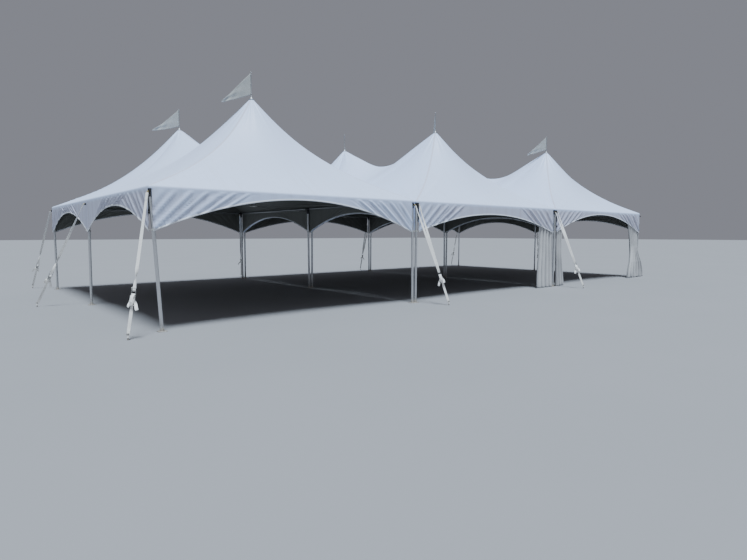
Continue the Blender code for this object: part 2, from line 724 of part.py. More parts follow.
def build_legs(tube):
    for column in range(COLUMNS + 1):
        for row in range(ROWS + 1):
            name = f"legs_{ROW_NAMES[row]}_{COLUMN_NAMES[column]}"
            add_object(name, legs_mesh(column, row), tube)


def build_straps(webbing):
    for column, row in STAKES:
        name = f"strap_{ROW_NAMES[row]}_{COLUMN_NAMES[column]}"
        add_object(name, strap_mesh(column, row), webbing)


def build_curtains(curtain_cloth):
    """Three bunched curtains on the front: two meet at the inner right legs, one hangs at the right end."""
    rail_y = grid_point(2, 0).y + LEG_OFFSET
    inner = grid_point(2, 0).x
    right = grid_point(3, 0).x
    leg_side = PAIR_FOOT_OFFSET + PLATE_MARGIN + CURTAIN_LEG_GAP
    sleeve_side = LEG_OFFSET + SLEEVE_RADIUS + RIGHT_END_SLEEVE_GAP
    near = [inner - leg_side] * 3
    far = [place - width for place, width in zip(near, MIDDLE_BAY_WIDTHS)]
    add_object("curtain_middle_bay", curtain_mesh(
        rail_y, MIDDLE_BAY_FOLDS, far, near, MIDDLE_BAY_SWING, HANGING_SWING), curtain_cloth)
    near = [inner + leg_side] * 3
    far = [place + width for place, width in zip(near, RIGHT_BAY_LEFT_WIDTHS)]
    add_object("curtain_right_bay_left", curtain_mesh(
        rail_y, RIGHT_BAY_LEFT_FOLDS, near, far, RIGHT_BAY_LEFT_SWING, HANGING_SWING), curtain_cloth)
    near = [right - sleeve_side, right - sleeve_side, right + RIGHT_END_WRAP]
    far = [place - width for place, width in zip(near, RIGHT_END_WIDTHS)]
    add_object("curtain_right_bay_right", curtain_mesh(
        rail_y, RIGHT_END_FOLDS, far, near, RIGHT_END_SWING, WRAPPING_SWING), curtain_cloth)


def main():
    clear_scene()
    fabric = make_material("white_coated_fabric", (0.86, 0.88, 0.92), 0.55)
    flag_cloth = make_material("white_flag_cloth", (0.80, 0.81, 0.84), 0.70)
    curtain_cloth = make_material("cream_curtain_cloth", (0.72, 0.71, 0.68), 0.70)
    webbing = make_material("white_webbing", (0.78, 0.77, 0.73), 0.75)
    tube = make_material("grey_aluminium_tube", (0.58, 0.59, 0.60), 0.42, 0.9)
    dark_steel = make_material("dark_steel_cable", (0.16, 0.16, 0.17), 0.45, 0.8)
    build_tents(fabric, tube, dark_steel, flag_cloth)
    build_legs(tube)
    build_straps(webbing)
    build_curtains(curtain_cloth)


main()
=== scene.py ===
"""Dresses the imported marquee: three sewn tent tops with two peaks each, on eave tubes, with masts on crossed
cables, pennants, legs, guy straps and gathered curtains.

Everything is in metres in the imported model's own frame: the origin is on the ground at the middle of the
plan, +X runs along the front to the right, +Y from the front to the back, and +Z up.
"""
import logging
import math
from collections.abc import Iterable, Iterator, Mapping, Sequence
from contextlib import contextmanager
from dataclasses import dataclass
from enum import Enum

import bmesh
import bpy
import numpy as np
from bpy.types import Material, Mesh, Object
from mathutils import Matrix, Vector


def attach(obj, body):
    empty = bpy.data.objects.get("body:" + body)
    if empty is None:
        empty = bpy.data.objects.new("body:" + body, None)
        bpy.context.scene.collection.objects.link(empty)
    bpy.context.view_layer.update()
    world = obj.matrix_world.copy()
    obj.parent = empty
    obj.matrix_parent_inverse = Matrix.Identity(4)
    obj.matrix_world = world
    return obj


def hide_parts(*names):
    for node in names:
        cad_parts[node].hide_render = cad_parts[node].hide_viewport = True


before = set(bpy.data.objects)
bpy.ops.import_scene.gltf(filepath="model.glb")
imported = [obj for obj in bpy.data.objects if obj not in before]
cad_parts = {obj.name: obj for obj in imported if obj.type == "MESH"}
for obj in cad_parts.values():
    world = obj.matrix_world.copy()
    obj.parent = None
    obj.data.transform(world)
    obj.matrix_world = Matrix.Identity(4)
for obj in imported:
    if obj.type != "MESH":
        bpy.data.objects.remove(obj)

LOG = logging.getLogger("marquee")
Size = tuple[float, float]
Triple = tuple[float, float, float]
Array = np.ndarray
Pair = tuple[Array, Array]
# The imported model's own directions.
RIGHT, BACK, UP = np.eye(3)
BODY = "root"
# The gap that neighbours keep, and a distance written where there is no seam or hem.
CLEARANCE = 0.0003
NOWHERE = 9.0


class Slot(Enum):
    """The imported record's material slots."""

    FABRIC = "fabric"
    FLAG = "flag_cloth"
    CURTAIN = "curtain_cloth"
    WEBBING = "webbing"
    TUBE = "tube"
    LEG = "leg_tube"
    CABLE = "cable"


class Eave(Enum):
    """The three eaves round a peak, counter-clockwise from above: the way each runs and the way it faces."""

    LEFT = ((0.0, -1.0), (-1.0, 0.0))
    OUTER = ((1.0, 0.0), (0.0, -1.0))
    RIGHT = ((0.0, 1.0), (1.0, 0.0))


@dataclass(frozen=True)
class Plan:
    """The grid of canopies and peaks, and the heights that the sub-assemblies share."""

    columns: int = 3
    rows: int = 2
    pitch_x: float = 6.096
    pitch_y: float = 4.572
    tent_gap: float = 0.060
    eave: float = 2.438
    peak: float = 4.700
    ridge: float = 3.950
    cloth_room: float = 0.0063
    tube_radius: float = 0.030
    sleeve_radius: float = 0.036
    sleeve_length: float = 0.110
    sleeve_below_tube: float = 0.004
    lug_reach: float = 0.085
    lug_below_sleeve_top: float = 0.037
    eye_reach: float = 0.100
    eye_below_sleeve_top: float = 0.022
    leg_foot_offset: float = 0.050

    @property
    def half_x(self) -> float:
        """Half a canopy's width."""
        return (self.pitch_x - self.tent_gap) / 2

    @property
    def half_y(self) -> float:
        """Half a canopy's depth."""
        return (self.pitch_y * self.rows - self.tent_gap) / 2

    @property
    def peak_place(self) -> float:
        """How far a peak stands from its canopy's mid line."""
        return self.pitch_y / 2

    @property
    def peak_reach(self) -> float:
        """How far a peak stands from the front or back eave."""
        return self.half_y - self.peak_place

    @property
    def inset(self) -> float:
        """How far a tube's axis lies inside the canopy's face."""
        return self.cloth_room + self.tube_radius

    @property
    def rail_height(self) -> float:
        """The height of the eave tubes' axes."""
        return self.eave - self.inset

    @property
    def sleeve_top(self) -> float:
        """The height where the leg sleeves end under the eave tubes."""
        return self.rail_height - self.tube_radius - self.sleeve_below_tube

    @property
    def leg_top(self) -> float:
        """The height where the legs end under their sleeves."""
        return self.sleeve_top - self.sleeve_length - CLEARANCE

    @property
    def leg_offset(self) -> float:
        """How far a leg's head stands from the grid lines."""
        return self.tent_gap / 2 + self.inset

    def grid_point(self, column: float, row: float) -> Array:
        """Returns a point of the legs' grid: between legs that stand together, or outside a single one."""
        return vec((column - self.columns / 2) * self.pitch_x, (row - self.rows / 2) * self.pitch_y, 0.0)

    def peak_point(self, column: int, row: int) -> Array:
        """Returns the ground point under a peak."""
        return self.grid_point(column + 0.5, row + 0.5)

    def canopy_centre(self, column: int) -> Array:
        """Returns the ground point under the middle of a canopy."""
        return self.grid_point(column + 0.5, self.rows / 2)

    def fitting(self, side: int, end: int) -> Array:
        """Returns where an eave fitting stands from its canopy's centre: end is 0 halfway along the side."""
        step_in = 0.0 if end else self.sleeve_radius - self.tube_radius
        return vec(side * (self.half_x - self.inset - step_in), end * (self.half_y - self.inset), 0.0)

    def outward(self, column: int, side: int, end: int) -> Array | None:
        """Returns where a fitting's strap lug points, or None between two canopies."""
        outer_side = (column == 0 and side < 0) or (column == self.columns - 1 and side > 0)
        way = vec(float(side * outer_side), float(end), 0.0)
        return unit(way) if way.any() else None

    def fittings_at(self, column: int, row: int) -> list[tuple[int, int, int]]:
        """Returns the fittings over a grid point, as canopy, side and end."""
        end = {0: -1, self.rows: 1}.get(row, 0)
        return [(canopy, side, end) for canopy, side in ((column - 1, 1), (column, -1))
                if 0 <= canopy < self.columns]


def vec(x: float, y: float, z: float) -> Array:
    """Returns a point or a direction."""
    return np.array((x, y, z), float)


def unit(vector: Array) -> Array:
    """Returns the vector at length 1."""
    return vector / np.linalg.norm(vector)


COLUMN_NAMES = ("left", "inner_left", "inner_right", "right")
ROW_NAMES = ("front", "centre", "back")
BAY_NAMES = ("left", "middle", "right")
DEPTH_NAMES = ("front", "back")
# The way each flag blows, in radians from +X, and how far its tip curls to the side.
FLIGHTS = {(0, 0): (2.44, 0.05), (0, 1): (2.44, 0.30), (1, 0): (0.87, 0.02), (1, 1): (0.87, 0.06),
           (2, 0): (2.44, -0.12), (2, 1): (2.20, 0.08)}
# Each stake's place from its grid point.
STAKES = {(0, 0): (-0.455, -0.274), (1, 0): (0.300, -0.790), (2, 0): (0.210, -0.880),
          (0, 1): (-0.975, 0.450), (0, 2): (-0.447, 0.880), (1, 2): (0.300, 0.790),
          (2, 2): (0.210, 0.880), (3, 1): (0.975, 0.450), (3, 2): (0.447, 0.880)}
# How far each strap's webbing twists round its own length between its lugs and its ratchet, in radians.
TWISTS = {(0, 0): 0.45, (1, 0): -1.15, (2, 0): -1.25, (0, 1): -1.20, (0, 2): -0.60, (1, 2): 0.30,
          (2, 2): -0.44, (3, 1): 0.40, (3, 2): -0.45}
# The spacing and the height of the folds in a valance, and of the wrinkles in a roof's corner.
FOLD_WAVES = ((0.30, 0.85), (0.17, 0.45), (0.55, 0.35))
WRINKLE_WAVES = ((0.17, 0.6), (0.11, 0.4), (0.27, 0.5))
# A bolt's head: its radius, its length up to the chamfer, the radius of its end and its whole length.
BOLT = ((0.0085, 0.006), (0.007, 0.0075))
# The hem's rows: how far above its edge each lies, and how far it stands out.
HEM_ROWS = ((0.030, 0.0), (0.024, 0.004), (0.012, 0.0055), (0.003, 0.004), (0.0, 0.0))
# How far the feet of two legs on the left side stand out of line.
KICKS = {(0, 0): (0.130, 0.070), (0, 1): (-0.020, 0.040)}


class Wire:
    """An output socket of a node tree that takes part in arithmetic."""

    def __init__(self, graph: "Graph", socket: bpy.types.NodeSocket) -> None:
        """Keeps the graph that new Math nodes go into, and the socket."""
        self.graph = graph
        self.socket = socket

    def __add__(self, other: "Wire | float") -> "Wire":
        """Adds a wire or a number."""
        return self.graph.math("ADD", self, other)

    __radd__ = __add__

    def __sub__(self, other: "Wire | float") -> "Wire":
        """Subtracts a wire or a number."""
        return self.graph.math("SUBTRACT", self, other)

    def __rsub__(self, other: float) -> "Wire":
        """Subtracts the wire from a number."""
        return self.graph.math("SUBTRACT", other, self)

    def __mul__(self, other: "Wire | float") -> "Wire":
        """Multiplies by a wire or a number."""
        return self.graph.math("MULTIPLY", self, other)

    __rmul__ = __mul__

    def sine(self) -> "Wire":
        """Returns the sine of an angle in radians."""
        return self.graph.math("SINE", self)

    def size(self) -> "Wire":
        """Returns the value without its sign."""
        return self.graph.math("ABSOLUTE", self)

    def output(self, name: str | int) -> "Wire":
        """Returns another output of the same node."""
        return Wire(self.graph, self.socket.node.outputs[name])


class Graph:
    """Builds one node tree, node by node."""

    def __init__(self, tree: bpy.types.NodeTree) -> None:
        """Keeps the tree."""
        self.tree = tree

    def add(self, kind: str, settings: Mapping | None = None, values: Mapping | None = None,
            output: str | int = 0) -> Wire:
        """Adds a node.

        Args:
            kind: The node's type.
            settings: Its properties, set first.
            values: Wires or constants for its input sockets, by name or number.
            output: The socket to return.

        Returns:
            The wanted output socket.
        """
        node = self.tree.nodes.new(kind)
        for name, value in (settings or {}).items():
            setattr(node, name, value)
        for name, value in (values or {}).items():
            if isinstance(value, Wire):
                self.tree.links.new(value.socket, node.inputs[name])
            else:
                node.inputs[name].default_value = value
        return Wire(self, node.outputs[output])

    def math(self, operation: str, *values: Wire | float) -> Wire:
        """Adds a Math node for an operation on wires and numbers."""
        return self.add("ShaderNodeMath", {"operation": operation}, dict(enumerate(values)))

    def vector(self, x: Wire | float, y: Wire | float, z: Wire | float) -> Wire:
        """Joins three values into a vector."""
        return self.add("ShaderNodeCombineXYZ", None, {"X": x, "Y": y, "Z": z})

    def split(self, value: Wire) -> tuple[Wire, Wire, Wire]:
        """Returns a vector's three values."""
        parts = self.add("ShaderNodeSeparateXYZ", None, {"Vector": value})
        return parts, parts.output("Y"), parts.output("Z")

    def ramp(self, value: Wire, low: float, high: float) -> Wire:
        """Returns a smooth rise from 0 at a low value to 1 at a high one."""
        settings = {"interpolation_type": "SMOOTHSTEP"}
        limits = {"Value": value, "From Min": low, "From Max": high}
        return self.add("ShaderNodeMapRange", settings, limits)


class Surface(Graph):
    """Builds one material's nodes around its Principled shader."""

    def __init__(self, name: str) -> None:
        """Makes the material.

        Args:
            name: The material's name.
        """
        self.material = bpy.data.materials.new(name)
        self.material.use_nodes = True
        super().__init__(self.material.node_tree)
        self.shader = self.tree.nodes["Principled BSDF"]

    def place(self) -> Wire:
        """Returns the Object coordinates."""
        return self.add("ShaderNodeTexCoord", output="Object")

    def cut(self) -> Wire:
        """Returns the piece's own UV map, in metres over its surface."""
        return self.add("ShaderNodeUVMap", {"uv_map": "cut"})

    def attribute(self, name: str) -> Wire:
        """Returns a number that the mesh carries at each point."""
        settings = {"attribute_type": "GEOMETRY", "attribute_name": name}
        return self.add("ShaderNodeAttribute", settings, output="Fac")

    def stretch(self, vector: Wire, scale: Triple) -> Wire:
        """Scales a vector by three numbers."""
        return self.add("ShaderNodeVectorMath", {"operation": "MULTIPLY"}, {0: vector, 1: scale})

    def noise(self, vector: Wire, scale: float, detail: float = 3.0, roughness: float = 0.5) -> Wire:
        """Returns soft noise from 0 to 1."""
        values = {"Vector": vector, "Scale": scale, "Detail": detail, "Roughness": roughness}
        return self.add("ShaderNodeTexNoise", None, values, "Fac")

    def blend(self, share: Wire | float, first: Wire | Triple, second: Wire | Triple) -> Wire:
        """Mixes two colours.

        Args:
            share: How much of the second colour, from 0 to 1.
            first: A colour or a wire that carries one.
            second: A colour or a wire that carries one.

        Returns:
            The mixed colour.
        """
        colours = [value if isinstance(value, Wire) else (*value, 1.0) for value in (first, second)]
        values = {0: share, 6: colours[0], 7: colours[1]}
        return self.add("ShaderNodeMix", {"data_type": "RGBA", "clamp_factor": True}, values, 2)

    def bump(self, height: Wire, depth: float, strength: float = 1.0) -> Wire:
        """Returns the normal of a surface raised by a height from 0 to 1, times a depth in metres."""
        return self.add("ShaderNodeBump", None, {"Height": height, "Distance": depth, "Strength": strength})

    def finish(self, constants: Mapping[str, float], varying: Mapping[str, Wire]) -> Material:
        """Sets the shader.

        Args:
            constants: Values that are the same all over, set on the shader's own sockets.
            varying: Wires for Base Color, Roughness, Metallic or Normal.

        Returns:
            The material.
        """
        for name, value in constants.items():
            self.shader.inputs[name].default_value = value
        for name, wire in varying.items():
            self.tree.links.new(wire.socket, self.shader.inputs[name])
        return self.material


@dataclass(frozen=True)
class CoatedFabric:
    """Satin coated tent cloth: welded panel seams, a fine scrim weave and grimy run-off streaks towards the
    eave, with painted shade in the valances' folds, along the hips and on the far and left valances, and a
    painted highlight along the hems.
    """

    name: str
    colour: Triple
    grime_and_shade: Triple
    roughness: float
    hem_highlight: Triple
    hem_width: float = 0.030
    seam_spacing: float = 1.52
    seam_half_width: float = 0.020
    grime_share: float = 0.30
    crease_shade: float = 0.34
    hip_seam_and_shade: float = 0.65
    far_valance_shade: float = 0.60
    weave_turns: float = 2400.0

    def material(self, plan: Plan) -> Material:
        """Builds the nodes for a canopy of this plan.

        Args:
            plan: The shared plan.

        Returns:
            The material.
        """
        s = Surface(self.name)
        place = s.place()
        x, _, z = s.split(place)
        across, down, _ = s.split(s.cut())
        hip = s.attribute("hip")
        mottle = s.noise(place, 0.9, 4.0)
        fine = s.noise(place, 26.0, 2.0)
        streaks = s.noise(s.vector(across * 7.0, down * 0.55, 0.0), 1.0, 4.0, 0.6)
        repeat = s.math("PINGPONG", across + self.seam_spacing / 2, self.seam_spacing / 2)
        from_seam = s.math("MINIMUM", repeat, hip)
        weld = 1 - s.ramp(from_seam, self.seam_half_width, self.seam_half_width + 0.004)
        edge = s.math("SUBTRACT", from_seam, self.seam_half_width).size()
        edge_line = 1 - s.ramp(edge, 0.001, 0.006)
        hip_line = 1 - s.ramp(hip, 0.016, 0.026)
        above_eave = s.ramp(z, plan.eave + 0.75, plan.eave - 0.02)
        dirt = s.ramp(streaks, 0.48, 0.80) * (above_eave * 0.7 + 0.3) * self.grime_share
        dirt = dirt + s.ramp(mottle, 0.45, 0.85) * 0.10 + edge_line * 0.22 - weld * 0.05
        # The line along each hip is partly a darker welded seam and partly painted shade, for the change of
        # light where two faces of the roof meet.
        dirt = dirt + hip_line * self.hip_seam_and_shade
        below_eave = s.ramp(z, plan.eave - 0.02, plan.eave - 0.10)
        # Painted shade: the valances are greyer towards the right end, and on the left side.
        far = s.ramp(x, -1.2 * plan.half_x, -0.2 * plan.half_x)
        left_side = -plan.columns * plan.pitch_x / 2
        left = s.ramp(x, 0.13 + left_side, 0.08 + left_side)
        # Painted shade in the valleys of the valances' folds.
        dirt = dirt + s.attribute("crease") * self.crease_shade
        dirt = dirt + below_eave * (far + left) * self.far_valance_shade
        # The darkening mixed in here is partly real (dirty streaks, random tone, seam lines) and partly
        # painted shade along the hips, in the folds and on the far and left valances.
        colour = s.blend(dirt, self.colour, self.grime_and_shade)
        # Painted highlight: a paler band along the hem, where the rolled hem catches the light.
        hem = s.ramp(s.attribute("hem"), self.hem_width, self.hem_width - 0.002)
        colour = s.blend(hem, colour, self.hem_highlight)
        weave = (across * self.weave_turns).sine() * (down * self.weave_turns).sine() * 0.5 + 0.5
        relief = weave * 0.10 + weld * 0.35 + fine * 0.30 + mottle * 0.25
        rough = self.roughness + fine * 0.10 + dirt * 0.35 - 0.05
        return s.finish({"Metallic": 0.0, "Specular IOR Level": 0.45},
                        {"Base Color": colour, "Roughness": rough, "Normal": s.bump(relief, 0.0016, 0.55)})


@dataclass(frozen=True)
class PlainCloth:
    """Uncoated or lightly coated cloth, with a weave, small creases, a dusty hem and painted shade in the
    valleys of the folds that the mesh marks.
    """

    name: str
    colour: Triple
    shade: Triple
    roughness: float
    dust_height: float = 0.0
    threads: float = 1500.0

    def material(self) -> Material:
        """Builds the nodes.

        Returns:
            The material.
        """
        s = Surface(self.name)
        place = s.place()
        _, _, z = s.split(place)
        across, down, _ = s.split(s.cut())
        mottle = s.noise(place, 3.0, 4.0)
        crease = s.noise(s.stretch(place, (1.0, 1.0, 0.35)), 22.0, 3.0, 0.6)
        weave = (across * self.threads).sine() * (down * self.threads).sine() * 0.5 + 0.5
        dust = s.ramp(z, self.dust_height + 0.001, 0.0) * s.ramp(mottle, 0.30, 0.65)
        shade = s.ramp(mottle, 0.35, 0.80) * 0.15 + dust * 0.35 + s.ramp(crease, 0.55, 0.8) * 0.10
        # Painted shade in the valleys of the folds.
        shade = shade + s.attribute("crease") * 0.70
        relief = crease * 0.6 + weave * 0.15 + mottle * 0.25
        return s.finish({"Metallic": 0.0, "Specular IOR Level": 0.30, "Sheen Weight": 0.15},
                        {"Base Color": s.blend(shade, self.colour, self.shade),
                         "Roughness": self.roughness + mottle * 0.12,
                         "Normal": s.bump(relief, 0.003, 0.5)})


@dataclass(frozen=True)
class Webbing:
    """Flat woven strap with ribs along its length, darker selvedges and dirt towards the ground."""

    name: str
    colour: Triple
    dirt: Triple
    half_width: float = 0.025
    rib_turns: float = 1250.0
    pick_turns: float = 1800.0

    def material(self) -> Material:
        """Builds the nodes.

        Returns:
            The material.
        """
        s = Surface(self.name)
        place = s.place()
        _, _, z = s.split(place)
        across, along, _ = s.split(s.cut())
        mottle = s.noise(place, 14.0, 4.0)
        ridge = (across * self.rib_turns).sine()
        ribs = ridge * 0.5 + 0.5
        picks = (along * self.pick_turns + s.math("SIGN", ridge) * (math.pi / 2)).sine() * 0.5 + 0.5
        selvedge = s.ramp(across.size(), self.half_width * 0.78, self.half_width * 0.98)
        low = s.ramp(z, 0.55, 0.05)
        dirt = low * 0.45 * s.ramp(mottle, 0.25, 0.7) + selvedge * 0.18 + s.ramp(mottle, 0.5, 0.8) * 0.15
        return s.finish({"Metallic": 0.0, "Specular IOR Level": 0.35, "Sheen Weight": 0.10},
                        {"Base Color": s.blend(dirt, self.colour, self.dirt),
                         "Roughness": 0.62 + mottle * 0.2,
                         "Normal": s.bump(ribs * 0.5 + picks * 0.5, 0.0007, 0.8)})


@dataclass(frozen=True)
class Metal:
    """Bare or coated metal, with streaks along its length, scuffs, and splashed dirt near the ground."""

    name: str
    colour: Triple
    worn: Triple
    roughness: float
    metallic: float
    splash_height: float = 0.0
    splash: Triple = (0.20, 0.18, 0.16)

    def material(self) -> Material:
        """Builds the nodes.

        Returns:
            The material.
        """
        s = Surface(self.name)
        place = s.place()
        _, _, z = s.split(place)
        streak = s.noise(s.stretch(place, (60.0, 60.0, 3.0)), 1.0, 3.0, 0.6)
        scuff = s.noise(place, 38.0, 5.0, 0.7)
        wear = s.ramp(scuff, 0.58, 0.72)
        splash = s.ramp(z, self.splash_height + 0.001, 0.0) * s.ramp(scuff, 0.30, 0.62)
        colour = s.blend(wear * 0.6 + s.ramp(streak, 0.4, 0.8) * 0.25, self.colour, self.worn)
        colour = s.blend(splash * 0.75, colour, self.splash)
        rough = self.roughness + streak * 0.12 + wear * 0.12 + splash * 0.30 - 0.06
        return s.finish({"Specular IOR Level": 0.5},
                        {"Base Color": colour, "Roughness": rough,
                         "Metallic": self.metallic - splash * (0.8 * self.metallic),
                         "Normal": s.bump(streak * 0.5 + scuff * 0.5, 0.0004, 0.5)})


@dataclass(frozen=True)
class Rope:
    """Laid rope or wire rope: strands that wind round its axis, with painted shade in the grooves between
    them.
    """

    name: str
    colour: Triple
    groove_shade: Triple
    roughness: float
    metallic: float
    lay: float
    strands: int = 3

    def material(self) -> Material:
        """Builds the nodes from the sweep's own lengths along and around.

        Returns:
            The material.
        """
        s = Surface(self.name)
        along = s.attribute("along")
        around = s.attribute("around")
        turn = along * (math.tau * self.strands / self.lay) + around * (math.tau * self.strands)
        strand = turn.sine() * 0.5 + 0.5
        mottle = s.noise(s.place(), 60.0, 3.0)
        # Painted shade in the grooves between the strands.
        colour = s.blend((1 - strand) * 0.6 + mottle * 0.2, self.colour, self.groove_shade)
        return s.finish({"Metallic": self.metallic, "Specular IOR Level": 0.4},
                        {"Base Color": colour, "Roughness": self.roughness + mottle * 0.15,
                         "Normal": s.bump(strand, 0.0012, 0.7)})


@dataclass(frozen=True)
class Ground:
    """Plain pale studio floor."""

    name: str
    colour: Triple

    def material(self) -> Material:
        """Builds the nodes.

        Returns:
            The material.
        """
        s = Surface(self.name)
        mottle = s.noise(s.place(), 0.35, 3.0)
        shade = tuple(value * 0.93 for value in self.colour)
        return s.finish({"Roughness": 0.9, "Specular IOR Level": 0.15},
                        {"Base Color": s.blend(mottle, self.colour, shade)})


class Wardrobe:
    """Every finish of the marquee, built once."""

    def __init__(self, plan: Plan) -> None:
        """Builds the materials.

        Args:
            plan: The shared plan.
        """
        # The paler colour of the hems is a painted highlight.
        hem = (0.80, 0.83, 0.88)
        self.roof = CoatedFabric("white_coated_roof_fabric", (0.66, 0.77, 1.00), (0.53, 0.52, 0.61),
                                 0.46, hem).material(plan)
        # The underside's dark grey is partly the cloth's grey backing and partly painted shade.
        self.grey_lining_and_shade = CoatedFabric("grey_backed_inner_fabric_and_painted_shade", (0.20, 0.205, 0.19), (0.14, 0.14, 0.13),
                                   0.62, hem).material(plan)
        self.flag = PlainCloth("white_flag_cloth", (0.44, 0.45, 0.43), (0.30, 0.31, 0.30), 0.75).material()
        self.curtain = PlainCloth("off_white_curtain_cloth", (0.59, 0.59, 0.59), (0.18, 0.18, 0.20),
                                  0.68, 0.22).material()
        self.webbing = Webbing("white_polyester_webbing", (0.97, 0.96, 0.92), (0.48, 0.45, 0.40)).material()
        self.tube = Metal("dull_aluminium_eave_tube", (0.42, 0.43, 0.44), (0.30, 0.30, 0.31),
                          0.42, 0.85).material()
        self.leg = Metal("scuffed_aluminium_leg_tube", (0.66, 0.67, 0.68), (0.46, 0.46, 0.46),
                         0.38, 0.80, 0.35).material()
        self.mast = Metal("clean_aluminium_mast", (0.36, 0.37, 0.38), (0.28, 0.28, 0.29),
                          0.50, 0.85).material()
        self.fitting = Metal("dark_cast_fitting", (0.055, 0.055, 0.06), (0.16, 0.16, 0.16),
                             0.50, 0.55, 0.10).material()
        self.zinc = Metal("galvanised_steel", (0.50, 0.50, 0.48), (0.36, 0.34, 0.31),
                          0.45, 0.80, 0.15, (0.26, 0.20, 0.14)).material()
        self.brass = Metal("yellow_passivated_hook", (0.62, 0.50, 0.22), (0.40, 0.33, 0.18),
                           0.42, 0.85).material()
        self.cable = Rope("galvanised_wire_rope", (0.34, 0.34, 0.34), (0.10, 0.10, 0.10),
                          0.42, 0.8, 0.06, 6).material()
        self.white_rope = Rope("white_tie_rope", (0.78, 0.77, 0.73), (0.46, 0.45, 0.42),
                               0.8, 0.0, 0.028).material()
        self.floor = Ground("pale_studio_floor", (0.30, 0.30, 0.31)).material()


def smooth(value: Array, low: float, high: float) -> Array:
    """Returns a smooth rise from 0 at a low value to 1 at a high one."""
    share = np.clip((value - low) / (high - low), 0.0, 1.0)
    return share * share * (3 - 2 * share)


def unit_rows(vectors: Array) -> Array:
    """Returns each row at length 1."""
    return vectors / np.linalg.norm(vectors, axis=1)[:, None]


def ridges(value: Array, waves: Iterable[Triple]) -> Array:
    """Returns narrow crests with broad valleys between them.

    Args:
        value: Where along the row of crests each point lies, in metres or radians.
        waves: The spacing, the shift and the height of each family of crests.

    Returns:
        The height at each point.
    """
    total = np.zeros_like(value)
    for spacing, shift, height in waves:
        crest = 1 - np.abs(np.sin(np.pi * (value / spacing + shift)))
        total += height * (crest ** 1.6 - 0.28)
    return total


def sides_of(axis: Array) -> Pair:
    """Returns two directions at right angles to an axis and to each other."""
    helper = RIGHT if abs(axis[2]) > 0.8 else UP
    across = unit(np.cross(helper, axis))
    return across, np.cross(axis, across)


@contextmanager
def edited(mesh: Mesh) -> Iterator[bmesh.types.BMesh]:
    """Opens a mesh for editing and writes the result back into it.

    Args:
        mesh: The mesh to edit.

    Returns:
        The open mesh, for a with statement.
    """
    work = bmesh.new()
    work.from_mesh(mesh)
    yield work
    work.to_mesh(mesh)
    work.free()


